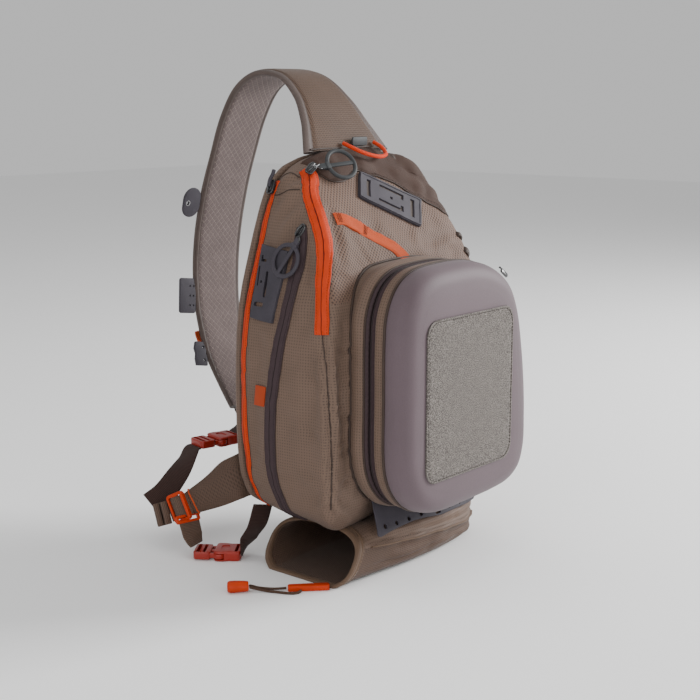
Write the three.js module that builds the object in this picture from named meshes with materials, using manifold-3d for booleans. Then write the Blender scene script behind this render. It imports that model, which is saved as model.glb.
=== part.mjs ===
// A fishing tackle sling bag standing on its bottle sleeve, in millimetres, +Z up.
// +X is to the right seen from the front, -Y the moulded front pocket and +Y the wearer's back.
// The origin is on the flat underside of the bottle sleeve.
import * as THREE from 'three';
import { mergeVertices } from 'three/addons/utils/BufferGeometryUtils.js';
import Module from 'manifold-3d';

const wasm = await Module();
wasm.setup();

// Driving dimensions of the bag body
const bodyWidth = 270;
const bodyHeight = 374;
const frontReach = 57;
const backReach = 62;
const bodyWall = 2.5;
const bodyCornerRadius = 9;
const gussetBulge = 4;
const frontCrown = 3;
const backPadThickness = 10;

// Driving dimensions of the bottle sleeve under the body
const sleeveHeight = 52;
const sleeveLength = 220;
const sleeveFrontReach = 81;
const sleeveBackReach = 50;
const sleeveWall = 2.5;
const mouthX = -84;
const mouthLean = 34;
const bindingWidth = 8;

// Driving dimensions of the moulded front pocket
const pocketWidth = 220;
const pocketHeight = 249;
const pocketX = 8;
const pocketBottomZ = 69;
const pocketGussetDepth = 15;
const pocketZipDepth = 13;
const pocketBandDepth = 12;
const pocketShellDepth = 28;
const pocketWall = 2.6;
const pocketZipInset = 1.5;
const patchWidth = 149;
const patchHeight = 163;
const patchThickness = 1.6;

// Driving dimensions of the padded strap, the webbing and the small hardware
const strapThickness = 8;
const strapWidth = 71;
const strapBaseWidth = 134;
const strapReach = 231;
const strapRise = 80;
const webbingWidth = 25;
const webbingThickness = 1.8;
const gearWebbingWidth = 12;
const tapeThickness = 1.4;
const mainTapeWidth = 19;
const rearTapeWidth = 9;
const sideTapeWidth = 16;
const plateThickness = 3;
const panelThickness = 1;
const cordDiameter = 3.6;
const pullCordDiameter = 2.6;
const ringPullDiameter = 36;
const ringPullWire = 3.4;
const buckleLength = 50;
const buckleThickness = 11;
const toggleDiameter = 12;
const toggleLength = 21;

// Clearances between neighbouring pieces
const seamGap = 0.35;
const slotMargin = 5;

const bodyFloor = sleeveHeight + seamGap;
const halfBody = bodyWidth / 2;

const cloth = { taupe: 0x7a6b5e, dark: 0x4a403a, orange: 0xd8501f, felt: 0x9a948c, mesh: 0x8b7d7b };
const plastic = { shell: 0x6e6468, slate: 0x4e4f57, orange: 0xd8401c, black: 0x242426, sage: 0x5d625c };

const point = (x, y, z) => new THREE.Vector3(x, y, z);

// Solids and how they are joined and cut

function closedGeometry(positions, index) {
  const geometry = new THREE.BufferGeometry();
  geometry.setAttribute('position', new THREE.BufferAttribute(Float32Array.from(positions), 3));
  geometry.setIndex(index);
  return geometry;
}

function signedVolume(positions, index) {
  const corner = (k) => point(positions[3 * k], positions[3 * k + 1], positions[3 * k + 2]);
  let volume = 0;
  for (let i = 0; i < index.length; i += 3) {
    volume += corner(index[i]).dot(corner(index[i + 1]).cross(corner(index[i + 2]))) / 6;
  }
  return volume;
}

// A skin over rings of equally many points, closed at both ends by a fan round the end ring's middle
function loft(rings) {
  const count = rings[0].length;
  const positions = rings.flat().flatMap((p) => [p.x, p.y, p.z]);
  const index = [];
  for (let r = 0; r + 1 < rings.length; r++) {
    for (let i = 0; i < count; i++) {
      const a = r * count + i;
      const b = r * count + (i + 1) % count;
      index.push(a, b, a + count, b, b + count, a + count);
    }
  }
  const endRings = [[0, false], [rings.length - 1, true]];
  for (const [r, forwards] of endRings) {
    const middle = rings[r].reduce((sum, p) => sum.add(p), point(0, 0, 0)).divideScalar(count);
    const hub = positions.length / 3;
    positions.push(middle.x, middle.y, middle.z);
    for (let i = 0; i < count; i++) {
      const a = r * count + i;
      const b = r * count + (i + 1) % count;
      index.push(...(forwards ? [a, b, hub] : [b, a, hub]));
    }
  }
  if (signedVolume(positions, index) < 0) {
    index.reverse();
  }
  return solid(closedGeometry(positions, index));
}

function solid(geometry) {
  const bare = geometry.clone();
  bare.deleteAttribute('normal');
  bare.deleteAttribute('uv');
  const merged = mergeVertices(bare, 1e-4);
  const mesh = new wasm.Mesh({
    numProp: 3,
    vertProperties: Float32Array.from(merged.attributes.position.array),
    triVerts: Uint32Array.from(merged.index.array),
  });
  return new wasm.Manifold(mesh);
}

// A flat outline in a plane of its own, thickened along that plane's normal
function plate(outline, thickness, origin, alongX, normal, holes = []) {
  const shape = new THREE.Shape(outline.map(([x, y]) => new THREE.Vector2(x, y)));
  shape.holes = holes.map((hole) => new THREE.Path(hole.map(([x, y]) => new THREE.Vector2(x, y))));
  const geometry = new THREE.ExtrudeGeometry(shape, { depth: thickness, bevelEnabled: false });
  return solid(placed(geometry, origin, alongX, normal));
}

function placed(geometry, origin, alongX, normal) {
  const z = normal.clone().normalize();
  const x = alongX.clone().addScaledVector(z, -alongX.dot(z)).normalize();
  const y = z.clone().cross(x);
  const matrix = new THREE.Matrix4().makeBasis(x, y, z).setPosition(origin);
  return geometry.applyMatrix4(matrix);
}

// An outline in the front view, thickened through the whole depth of the bag
function frontPrism(outline, frontY = -200, backY = 200) {
  return plate(outline, backY - frontY, point(0, backY, 0), point(1, 0, 0), point(0, -1, 0));
}

function roundedRectangle(width, height, radius, steps = 3) {
  const corners = [[1, 1, 0], [-1, 1, 90], [-1, -1, 180], [1, -1, 270]];
  const outline = [];
  for (const [sideX, sideY, start] of corners) {
    for (let i = 0; i <= steps; i++) {
      const angle = THREE.MathUtils.degToRad(start + 90 * i / steps);
      const x = sideX * (width / 2 - radius) + radius * Math.cos(angle);
      const y = sideY * (height / 2 - radius) + radius * Math.sin(angle);
      outline.push([x, y]);
    }
  }
  return outline;
}

const moved = (outline, x, y) => outline.map(([u, v]) => [u + x, v + y]);

const cordSides = 8;

function tube(path, diameter, steps) {
  const section = new THREE.Shape();
  section.absarc(0, 0, diameter / 2, 0, 2 * Math.PI);
  const options = { steps, extrudePath: path, curveSegments: cordSides / 2, bevelEnabled: false };
  return solid(new THREE.ExtrudeGeometry(section, options));
}

function tableAt(rows, position) {
  const last = rows.length - 1;
  if (position <= rows[0][0]) {
    return rows[0][1];
  }
  for (let i = 0; i < last; i++) {
    const [from, low] = rows[i];
    const [to, high] = rows[i + 1];
    if (position <= to) {
      return THREE.MathUtils.lerp(low, high, (position - from) / (to - from));
    }
  }
  return rows[last][1];
}

// The body's outline from the front, going round from the middle of the bottom by the left side.
// Columns: share of the half width, share of the height.
const bodySide = [
  [0, 0], [0.55, 0.002], [0.79, 0.014], [0.915, 0.052], [0.965, 0.12], [0.995, 0.23], [1, 0.38],
  [0.98, 0.52], [0.925, 0.635], [0.84, 0.74], [0.76, 0.835], [0.7, 0.9], [0.62, 0.945],
  [0.48, 0.977], [0.26, 0.995], [0, 1],
];

// How far the front face stands forward. Columns: share of the height, share of the front reach.
const frontDepth = [
  [0, -0.78], [0.06, -0.92], [0.17, -1], [0.6, -1], [0.7, -0.84], [0.78, -0.59], [0.84, -0.34],
  [0.9, -0.02], [0.95, 0.18], [1, 0.36],
];

// How far the back face stands backward. Columns: share of the height, share of the back reach.
const backDepth = [[0, 0.85], [0.08, 1], [0.62, 1], [0.78, 0.96], [0.9, 0.91], [0.95, 0.85], [1, 0.72]];

const heightShare = (z) => (z - bodyFloor) / bodyHeight;
const frontY = (z) => frontReach * tableAt(frontDepth, heightShare(z));
const backY = (z) => backReach * tableAt(backDepth, heightShare(z));

function mirroredOutline(side) {
  const left = side.map(([across, up]) => [-across, up]);
  const right = side.slice(1, -1).reverse();
  return [...left, ...right];
}

function outlineCurve(shares, toPoint) {
  const points = shares.map(toPoint);
  return new THREE.CatmullRomCurve3(points, true, 'centripetal');
}

const bodyCurve = outlineCurve(mirroredOutline(bodySide),
  ([across, up]) => point(across * halfBody, 0, bodyFloor + up * bodyHeight));
const bodyStations = 44;
const bodyCentre = point(0, 0, bodyFloor + 0.46 * bodyHeight);

function outlinePoint(curve, share) {
  const wrapped = (share % 1 + 1) % 1;
  const place = curve.getPointAt(wrapped);
  const tangent = curve.getTangentAt(wrapped);
  const normal = point(-tangent.z, 0, tangent.x).normalize();
  return { place, normal: normal.multiplyScalar(outwardSign(curve)) };
}

function outwardSign(curve) {
  const bottom = curve.getTangentAt(0);
  return bottom.x > 0 ? -1 : 1;
}

// Share of the way round the outline where its left side passes a height
function leftShareAt(curve, z) {
  let low = 0;
  let high = 0.5;
  for (let i = 0; i < 30; i++) {
    const middle = (low + high) / 2;
    if (curve.getPointAt(middle).z < z) {
      low = middle;
    } else {
      high = middle;
    }
  }
  return (low + high) / 2;
}

// Rings across the body from the back to the front.
// Columns: share of the way out from the centre, inset in corner radii, face that the depth is
// measured from, and the way in from that face in corner radii.
const bodyProfile = [
  [0.6, 0, 'back', 0], [1, 1, 'back', 0], [1, 0.29, 'back', 0.29],
  [1, 0, 'back', 1], [1, 0, 'middle', 0], [1, 0, 'front', 1], [1, 0.29, 'front', 0.29],
  [1, 1, 'front', 0], [0.82, 0, 'front', 0], [0.5, 0, 'front', 0],
];

// The corner radius, smaller where the body is thin
const cornerRoom = (z) => Math.min(bodyCornerRadius, (backY(z) - frontY(z)) / 3);

// How far the gusset swells out of the body's outline at a depth
function gussetSwell(place, normal, y) {
  const middle = (backY(place.z) + frontY(place.z)) / 2;
  const reach = (backY(place.z) - frontY(place.z)) / 2 - cornerRoom(place.z);
  return gussetBulge * Math.abs(normal.x) * Math.max(0, 1 - Math.abs(y - middle) / reach);
}

function bodyRingPoint(share, row, offset) {
  const [reach, inset, face, depth] = row;
  const { place, normal } = outlinePoint(bodyCurve, share);
  const room = cornerRoom(place.z);
  const out = place.clone().addScaledVector(normal, offset - inset * room);
  const flat = bodyCentre.clone().lerp(out, reach);
  const rim = bodyCentre.clone().lerp(place, reach);
  if (face === 'middle') {
    flat.y = (backY(place.z) + frontY(place.z)) / 2;
    return flat.addScaledVector(normal, gussetSwell(place, normal, flat.y));
  }
  if (face === 'back') {
    flat.y = backY(rim.z) - depth * room + offset;
    return flat;
  }
  const crown = frontCrown * (1 - reach);
  flat.y = frontY(rim.z) + depth * room - crown - offset;
  return flat;
}

// The body's outer form, grown by an offset
function bodyForm(offset) {
  const shares = Array.from({ length: bodyStations }, (_, i) => i / bodyStations);
  return loft(bodyProfile.map((row) => shares.map((share) => bodyRingPoint(share, row, offset))));
}

const bodyLayer = (from, to) => bodyForm(to).subtract(bodyForm(from));

// A block that follows the outline of the body between two shares of the way round.
// span gives, at a share, how far it reaches in and out of the outline and from front to back.
function outlineBlock(from, to, steps, span) {
  const rings = [];
  for (let i = 0; i <= steps; i++) {
    const share = THREE.MathUtils.lerp(from, to, i / steps);
    const { place, normal } = outlinePoint(bodyCurve, share);
    const { inner, outer, front, back } = span(place);
    const corners = [[inner, front], [outer, front], [outer, back], [inner, back]];
    rings.push(corners.map(([out, y]) => place.clone().addScaledVector(normal, out).setY(y)));
  }
  return loft(rings);
}

// The zip tapes. Heights are shares of the body's height.
const mainZip = { bottom: 0.545, top: 0.958 };
const rearZip = { bottom: 0.02, top: 0.925 };
const sideZip = { bottom: 0.012, top: 0.805 };

// Where the middle of the side zip runs between the front face and the back face.
// Columns: share of the height, share of the way from front to back.
const sideZipPath = [
  [0, 0.42], [0.06, 0.55], [0.13, 0.61], [0.22, 0.62], [0.34, 0.59], [0.5, 0.52], [0.62, 0.44],
  [0.72, 0.35], [0.8, 0.28],
];

const blockReach = 12;
const blockSteps = 36;

const mainZipSpan = (width) => (place) => ({
  inner: -0.45 * width,
  outer: blockReach,
  front: frontY(place.z) - blockReach,
  back: frontY(place.z) + 0.62 * width,
});

const rearZipSetback = 8;
const rearZipSpan = (width) => (place) => ({
  inner: -blockReach,
  outer: blockReach,
  front: backY(place.z) - rearZipSetback - width / 2,
  back: backY(place.z) - rearZipSetback + width / 2,
});

const sideZipMiddle = (z) => THREE.MathUtils.lerp(frontY(z), backY(z), tableAt(sideZipPath, heightShare(z)));
const sideZipSpan = (width) => (place) => ({
  inner: -blockReach,
  outer: blockReach,
  front: sideZipMiddle(place.z) - width / 2,
  back: sideZipMiddle(place.z) + width / 2,
});

function zipBlock(zip, span, shorter = 0) {
  const from = leftShareAt(bodyCurve, bodyFloor + zip.bottom * bodyHeight + shorter);
  const to = leftShareAt(bodyCurve, bodyFloor + zip.top * bodyHeight - shorter);
  const steps = Math.max(1, Math.round((to - from) * blockSteps));
  return outlineBlock(from, to, steps, span);
}

function bodyShell() {
  const slots = [
    zipBlock(mainZip, mainZipSpan(mainTapeWidth - 2 * slotMargin), slotMargin),
    zipBlock(sideZip, sideZipSpan(sideTapeWidth - 2 * slotMargin), slotMargin),
  ];
  return slots.reduce((body, slot) => body.subtract(slot), bodyForm(0).subtract(bodyForm(-bodyWall)));
}

function zipTape(zip, span) {
  return bodyLayer(seamGap, seamGap + tapeThickness).intersect(zipBlock(zip, span));
}

// The padded back panel, a little inside the body's outline, with rounded edges.
// Columns: share of the way out from the centre, inset in corner radii, share of the thickness.
const padProfile = [
  [0.6, 0, 0], [1, 1, 0], [1, 0.35, 0.12], [1, 0.3, 0.5], [1, 0.5, 0.86], [1, 1.1, 1], [0.6, 0, 1],
];

function padForm(offset) {
  const shares = Array.from({ length: bodyStations }, (_, i) => i / bodyStations);
  return loft(padProfile.map(([reach, inset, layer]) => shares.map((share) => {
    const { place, normal } = outlinePoint(bodyCurve, share);
    const edge = place.clone().addScaledVector(normal, offset + seamGap - inset * cornerRoom(place.z));
    const rim = bodyCentre.clone().lerp(place, reach);
    const y = backY(rim.z) + seamGap - offset + (backPadThickness + 2 * offset) * layer;
    return bodyCentre.clone().lerp(edge, reach).setY(y);
  })));
}

const backPad = () => padForm(0);

// Panels and plates on the front, as outlines in the front view.
// Columns: share of the half width, share of the height.
const onBody = ([across, up]) => [across * halfBody, bodyFloor + up * bodyHeight];
const yokeOutline = [[-0.47, 0.975], [-0.3, 0.958], [0.49, 0.85], [0.84, 0.78], [1.2, 0.8], [1.2, 1.2], [-0.47, 1.2]];
const lashPlateCorners = [[-0.15, 0.934], [-0.245, 0.873], [0.27, 0.777], [0.4, 0.85]];
const gearWebbingPath = [[-0.61, 0.845], [-0.44, 0.795], [-0.1, 0.738], [0.18, 0.675]];

// The part of an outline in the front view that lies in front of the strap's foot
const frontHalf = (outline) => frontPrism(outline, -200, backReach / 2);

function yoke() {
  return bodyLayer(seamGap, seamGap + panelThickness).intersect(frontHalf(yokeOutline.map(onBody)));
}

const along = (from, to, share) => from.map((value, i) => THREE.MathUtils.lerp(value, to[i], share));

// The room that the yoke takes at the front, with a clearance below its seam
const yokeBlock = (clearance) => frontHalf(yokeOutline.map(onBody).map(([x, z]) => [x, z - clearance]));

// A slot in a four-cornered plate, from its shares along the plate and across it
function plateSlot(corners, fromAlong, toAlong, fromAcross, toAcross) {
  const [topLeft, bottomLeft, bottomRight, topRight] = corners;
  const spot = (u, v) => along(along(topLeft, topRight, u), along(bottomLeft, bottomRight, u), v);
  return [spot(fromAlong, fromAcross), spot(fromAlong, toAcross), spot(toAlong, toAcross), spot(toAlong, fromAcross)];
}

// Slots in the top lash plate. Columns: shares from and to along it, shares from and to across it.
const lashPlateSlots = [[0.13, 0.18, 0.24, 0.82], [0.84, 0.89, 0.2, 0.78], [0.33, 0.7, 0.2, 0.29], [0.33, 0.7, 0.68, 0.77]];

function topLashPlate() {
  const corners = lashPlateCorners.map(onBody);
  const slots = lashPlateSlots.map((row) => frontHalf(plateSlot(corners, ...row)));
  const base = bodyLayer(seamGap, seamGap + plateThickness).intersect(frontHalf(corners));
  return slots.reduce((kept, slot) => kept.subtract(slot), base).subtract(yokeBlock(seamGap));
}

// A strip of even width along a polyline in the front view
function stripOutline(path, width) {
  const left = [];
  const right = [];
  path.forEach(([x, z], i) => {
    const before = path[Math.max(i - 1, 0)];
    const after = path[Math.min(i + 1, path.length - 1)];
    const direction = new THREE.Vector2(after[0] - before[0], after[1] - before[1]).normalize();
    const side = [-direction.y * width / 2, direction.x * width / 2];
    left.push([x + side[0], z + side[1]]);
    right.unshift([x - side[0], z - side[1]]);
  });
  return [...left, ...right];
}

function gearWebbing() {
  const outline = stripOutline(gearWebbingPath.map(onBody), gearWebbingWidth);
  const strip = bodyLayer(seamGap, seamGap + webbingThickness).intersect(frontHalf(outline));
  return strip.subtract(pocketForm(seamGap));
}

// Things on the left side of the body

const sidePlate = { bottom: 0.53, top: 0.755 };

function sideLashPlate() {
  const clear = 1;
  const block = zipBlock(sidePlate, (place) => ({
    inner: -blockReach,
    outer: blockReach,
    front: sideZipMiddle(place.z) + sideTapeWidth / 2 + clear,
    back: backY(place.z) - rearZipSetback - rearTapeWidth / 2 - clear,
  }));
  const base = bodyLayer(seamGap, seamGap + plateThickness).intersect(block);
  const slots = [[0.57, 0.66, 0.42, 0.56], [0.585, 0.645, 0.68, 0.76], [0.545, 0.556, 0.4, 0.7]];
  return slots.reduce((kept, [bottom, top, fromBack, toBack]) => kept.subtract(
    zipBlock({ bottom, top }, (place) => {
      const front = sideZipMiddle(place.z) + sideTapeWidth / 2;
      const back = backY(place.z) - rearZipSetback - rearTapeWidth / 2;
      return {
        inner: -blockReach,
        outer: blockReach,
        front: THREE.MathUtils.lerp(front, back, fromBack),
        back: THREE.MathUtils.lerp(front, back, toBack),
      };
    })), base);
}

const webTabReach = 16;

function sideWebTab() {
  const tab = { bottom: 0.33, top: 0.385 };
  const block = zipBlock(tab, (place) => ({
    inner: -blockReach,
    outer: blockReach,
    front: sideZipMiddle(place.z) + sideTapeWidth / 2 + 1,
    back: sideZipMiddle(place.z) + sideTapeWidth / 2 + webTabReach,
  }));
  return bodyLayer(seamGap, seamGap + webbingThickness).intersect(block);
}

// A place on the left gusset, at a share of the height and a depth, raised above the cloth
function onGusset(up, y, raise) {
  const share = leftShareAt(bodyCurve, bodyFloor + up * bodyHeight);
  const { place, normal } = outlinePoint(bodyCurve, share);
  return { place: place.addScaledVector(normal, gussetSwell(place, normal, y) + raise).setY(y), normal };
}

const sliderLength = 15;
const sliderWidth = 9;
const sliderHeight = 4;

function slider(origin, alongX, normal) {
  return plate(roundedRectangle(sliderLength, sliderWidth, 2.5), sliderHeight, origin, alongX, normal);
}

// A ring pull with a rib across it and the link that ties it to its slider
function ringPull(centre, towardsSlider, normal, linkLength) {
  const radius = (ringPullDiameter - ringPullWire) / 2;
  const ring = new THREE.TorusGeometry(radius, ringPullWire / 2, 5, 20);
  const out = normal.clone().normalize();
  const towards = towardsSlider.clone().addScaledVector(out, -towardsSlider.dot(out)).normalize();
  const ringSolid = solid(placed(ring, centre, towards, out));
  const ribOutline = roundedRectangle(2 * radius, 3, 1);
  const ribOrigin = centre.clone().addScaledVector(out, -ringPullWire / 2 + 0.4);
  const rib = plate(ribOutline, ringPullWire - 0.8, ribOrigin, towards, out);
  const linkOrigin = ribOrigin.clone().addScaledVector(towards, radius + linkLength / 2 - 1);
  const link = plate(roundedRectangle(linkLength, 5.5, 2), ringPullWire - 0.8, linkOrigin, towards, out);
  return ringSolid.add(rib).add(link);
}

// The moulded front pocket. Columns: share of the width from its middle, share of the height.
const pocketShares = [
  [0.02, 0], [-0.22, 0.004], [-0.355, 0.045], [-0.44, 0.115], [-0.484, 0.19], [-0.5, 0.27], [-0.5, 0.5],
  [-0.498, 0.72], [-0.484, 0.83], [-0.425, 0.925], [-0.325, 0.98], [-0.14, 1], [0.08, 0.993],
  [0.23, 0.955], [0.345, 0.885], [0.415, 0.775], [0.46, 0.615], [0.49, 0.44], [0.5, 0.3],
  [0.497, 0.17], [0.455, 0.075], [0.37, 0.024], [0.2, 0.004],
];
const pocketCurve = outlineCurve(pocketShares,
  ([across, up]) => point(pocketX + across * pocketWidth, 0, pocketBottomZ + up * pocketHeight));
const pocketStations = 32;
const pocketCentre = point(pocketX, 0, pocketBottomZ + pocketHeight / 2);
const gussetFront = -frontReach - frontCrown - pocketGussetDepth;
const zipFront = gussetFront - pocketZipDepth;
const bandFront = zipFront - pocketBandDepth;
const shellFront = bandFront - pocketShellDepth;

// A block inside the pocket's outline. Rows: inset, depth in Y, and share of the way out.
function pocketBlock(rows, offset = 0) {
  const shares = Array.from({ length: pocketStations }, (_, i) => i / pocketStations);
  return loft(rows.map(([inset, y, reach = 1]) => shares.map((share) => {
    const { place, normal } = outlinePoint(pocketCurve, share);
    const out = place.addScaledVector(normal, offset - inset);
    return pocketCentre.clone().lerp(out, reach).setY(y);
  })));
}

const pocketForm = (offset) => pocketBlock([[0, shellFront], [0, 0]], offset);

// A wall round the pocket between two depths
function pocketRing(front, back, inset, wall) {
  const outer = pocketBlock([[inset, front], [inset, back]]);
  const inner = pocketBlock([[inset + wall, front - 1], [inset + wall, back + 1]]);
  return outer.subtract(inner);
}

// The moulded shell's outer surface. Columns: inset, share of its depth, share of the way out.
const shellProfile = [[0, 0, 1], [-1, 0.25, 1], [0.5, 0.52, 1], [5, 0.76, 1], [13, 0.92, 1], [26, 0.985, 1], [26, 1, 0.6]];

function shellForm(offset, back) {
  const rows = shellProfile.map(([inset, share, reach]) => [inset, bandFront - seamGap - share * (pocketShellDepth + offset), reach]);
  return pocketBlock([[rows[0][0], back], ...rows.slice(1)], offset);
}

function pocketShell() {
  const back = bandFront - seamGap;
  return shellForm(0, back).subtract(shellForm(-pocketWall, back + 1));
}

const patchX = pocketX - 6;
const patchZ = pocketBottomZ + 0.478 * pocketHeight;

function feltPatch() {
  const outline = moved(roundedRectangle(patchWidth, patchHeight, 16, 4), patchX, patchZ);
  const layer = shellForm(seamGap + patchThickness, 0).subtract(shellForm(seamGap, 1));
  return layer.intersect(frontPrism(outline, -200, bandFront - 10));
}

// The rubber tab below the pocket, in the front view.
// Columns: share of the pocket's width from its middle, height in shares of the sleeve's height.
const ventShares = [
  [-0.39, 1.5], [-0.385, 1.03], [-0.37, 0.83], [-0.3, 0.79], [-0.2, 0.86], [-0.07, 1.0], [0.05, 1.04],
  [0.16, 1.0], [0.26, 0.86], [0.34, 0.75], [0.4, 0.74], [0.42, 0.9], [0.42, 1.5],
];
const ventHoles = [[-0.3, 0.9], [-0.23, 0.95], [-0.16, 1.0], [0.21, 1.0], [0.28, 0.93], [0.35, 0.88]];

function ventTab() {
  const spot = ([across, up]) => [pocketX + across * pocketWidth, up * sleeveHeight];
  const slabTop = point(0, frontY(pocketBottomZ + 18) - 3, pocketBottomZ + 18);
  const lean = point(0, -0.92, 0.4);
  const slab = plate(roundedRectangle(2 * pocketWidth, 120, 1), plateThickness, slabTop, point(1, 0, 0), lean.clone().negate());
  const tab = slab.intersect(frontPrism(ventShares.map(spot)));
  const holes = ventHoles.map((row) => frontPrism(moved(roundedRectangle(5, 5, 2.4), ...spot(row))));
  const neighbours = [pocketForm(2 * seamGap), bodyForm(seamGap), sleeveForm(seamGap)];
  return [...holes, ...neighbours].reduce((kept, other) => kept.subtract(other), tab);
}

// The bottle sleeve, a tube along X that is open at the left.
// Columns: share of the length, shares of the front reach, the back reach and the height.
const sleeveRows = [
  [0, 0.86, 0.9, 1], [0.12, 0.93, 1, 1], [0.3, 0.99, 1, 1], [0.5, 1, 1, 1], [0.68, 0.96, 1, 1],
  [0.8, 0.86, 0.95, 1], [0.9, 0.68, 0.78, 0.97], [0.96, 0.46, 0.5, 0.9], [1, 0.2, 0.15, 0.8],
];
const sleeveSides = 24;
const sleeveSquareness = 2.7;
const sleeveSink = 5;

function sleeveSection(row, offset, extra = 0) {
  const [share, front, back, height] = row;
  const x = mouthX + share * sleeveLength + extra;
  const low = -sleeveFrontReach * front - offset;
  const high = sleeveBackReach * back + offset;
  const top = sleeveHeight * height + offset;
  const bottom = -sleeveSink - offset;
  const ring = [];
  for (let i = 0; i < sleeveSides; i++) {
    const angle = 2 * Math.PI * i / sleeveSides;
    const across = Math.sign(Math.cos(angle)) * Math.abs(Math.cos(angle)) ** (2 / sleeveSquareness);
    const up = Math.sign(Math.sin(angle)) * Math.abs(Math.sin(angle)) ** (2 / sleeveSquareness);
    const y = (low + high) / 2 + across * (high - low) / 2;
    const z = Math.max((top + bottom) / 2 + up * (top - bottom) / 2, -offset);
    const lean = share === 0 ? -mouthLean * (1 - z / sleeveHeight) : 0;
    ring.push(point(x + lean, y, z));
  }
  return ring;
}

function sleeveForm(offset, mouthExtra = 0) {
  const rows = sleeveRows.map((row, i) => sleeveSection(row, offset, i === 0 ? mouthExtra : 0));
  const last = rows[rows.length - 1];
  last.forEach((p) => p.add(point(offset, 0, 0)));
  return loft(rows);
}

function bottleSleeve() {
  return sleeveForm(0).subtract(sleeveForm(-sleeveWall, -2 * sleeveWall)).subtract(bodyForm(seamGap));
}

function sleeveBinding() {
  const mouth = sleeveRows[0];
  const ring = (offset, from, to) => loft([sleeveSection(mouth, offset, from), sleeveSection(mouth, offset, to)]);
  return ring(0, -seamGap - bindingWidth, -seamGap).subtract(ring(-sleeveWall - 1, -2 * bindingWidth, bindingWidth));
}

// The padded shoulder strap, from the top of the body over and down behind it.
// Columns: share of the reach behind the top, share of the rise, share of the strap's half width, X.
const strapRows = [
  [0, 0, 1.9, 0], [0.08, 0.36, 1.48, 0], [0.17, 0.68, 1.2, 0], [0.31, 0.95, 1.03, 0], [0.49, 1, 1, 0],
  [0.64, 0.82, 1, 0], [0.755, 0.42, 1, 0], [0.84, -0.08, 1, 0], [0.92, -0.64, 1.02, 0],
  [0.975, -1.2, 1.03, 0], [1, -1.76, 1.02, 0], [0.98, -2.36, 0.97, -2], [0.92, -2.92, 0.84, -5],
  [0.83, -3.38, 0.6, -9], [0.75, -3.68, 0.4, -14],
];
const strapFootY = backReach - 30;
const strapFootZ = bodyFloor + bodyHeight - 3;
const strapPoint = ([back, up, , x]) => point(x, strapFootY + back * (strapReach - strapFootY), strapFootZ + up * strapRise);
const strapCurve = new THREE.CatmullRomCurve3(strapRows.map(strapPoint), false, 'centripetal');

function strapFrame(share) {
  const place = strapCurve.getPoint(share);
  const tangent = strapCurve.getTangent(share);
  const across = point(1, 0, 0).addScaledVector(tangent, -tangent.x).normalize();
  return { place, across, outward: tangent.clone().cross(across).multiplyScalar(-1).normalize() };
}

function strapHalfWidth(share) {
  const rows = strapRows.map(([, , width], i) => [i / (strapRows.length - 1), width]);
  return tableAt(rows, share) * strapWidth / 2;
}

// The strap before its foot is fitted to the body, grown by an offset
function strapForm(offset) {
  const steps = 24;
  const section = [[-1, 0], [-0.9, 0.5], [0, 0.62], [0.9, 0.5], [1, 0], [0.9, -0.5], [0, -0.5], [-0.9, -0.5]];
  const rings = [];
  for (let i = 0; i <= steps; i++) {
    const share = i / steps;
    const { place, across, outward } = strapFrame(share);
    const half = strapHalfWidth(share) + offset;
    const thickness = strapThickness + 2 * offset;
    rings.push(section.map(([u, v]) => place.clone().addScaledVector(across, u * half)
      .addScaledVector(outward, v * thickness)));
  }
  return loft(rings);
}

const shoulderStrap = () => strapForm(0).subtract(bodyForm(2 * seamGap + panelThickness));

// A tab that stands out from the left edge of the strap, at a share of the strap's length
function strapSideTab(share, width, height, radius, thickness) {
  const { place, across, outward } = strapFrame(share);
  const edge = place.clone().addScaledVector(across, -strapHalfWidth(share) - seamGap - width / 2);
  edge.addScaledVector(outward, -thickness / 2);
  const tab = plate(roundedRectangle(width, height, radius, 5), thickness, edge, across.clone().negate(), outward);
  return tab.subtract(strapForm(seamGap));
}

// Webbing as a flat band. Rows: centre and the direction across the band.
function band(rows, width, thickness) {
  const points = rows.map(([centre]) => point(...centre));
  const rings = rows.map(([, acrossList], i) => {
    const before = points[Math.max(i - 1, 0)];
    const after = points[Math.min(i + 1, rows.length - 1)];
    const tangent = after.clone().sub(before).normalize();
    const across = point(...acrossList);
    across.addScaledVector(tangent, -across.dot(tangent)).normalize();
    const normal = tangent.cross(across).normalize();
    const corners = [[-1, -1], [1, -1], [1, 1], [-1, 1]];
    return corners.map(([u, v]) => points[i].clone().addScaledVector(across, u * width / 2)
      .addScaledVector(normal, v * thickness / 2));
  });
  return loft(rings);
}

// A side-release buckle, fastened: a block with two side windows
function buckle(middle, alongX, normal) {
  const outline = roundedRectangle(buckleLength, webbingWidth + 6, 6, 3);
  const window = roundedRectangle(10, 4, 1.5, 2);
  const holes = [moved(window, 2, webbingWidth / 2 - 2), moved(window, 2, 2 - webbingWidth / 2)];
  const origin = middle.clone().addScaledVector(normal.clone().normalize(), -buckleThickness / 2);
  return plate(outline, buckleThickness, origin, alongX, normal, holes);
}

// The wing at the lower left that carries the strap's webbing, from the back panel to its tip
const padBackY = backReach + seamGap + backPadThickness + seamGap;
const wingThickness = 3;
const wingRows = [
  { centre: [-108, padBackY - 3, 94], half: 25.5 },
  { centre: [-125, padBackY + 8, 87], half: 23 },
  { centre: [-133, 100, 73], half: 18.5 },
  { centre: [-139.5, 127, 57], half: 13 },
];

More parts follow.
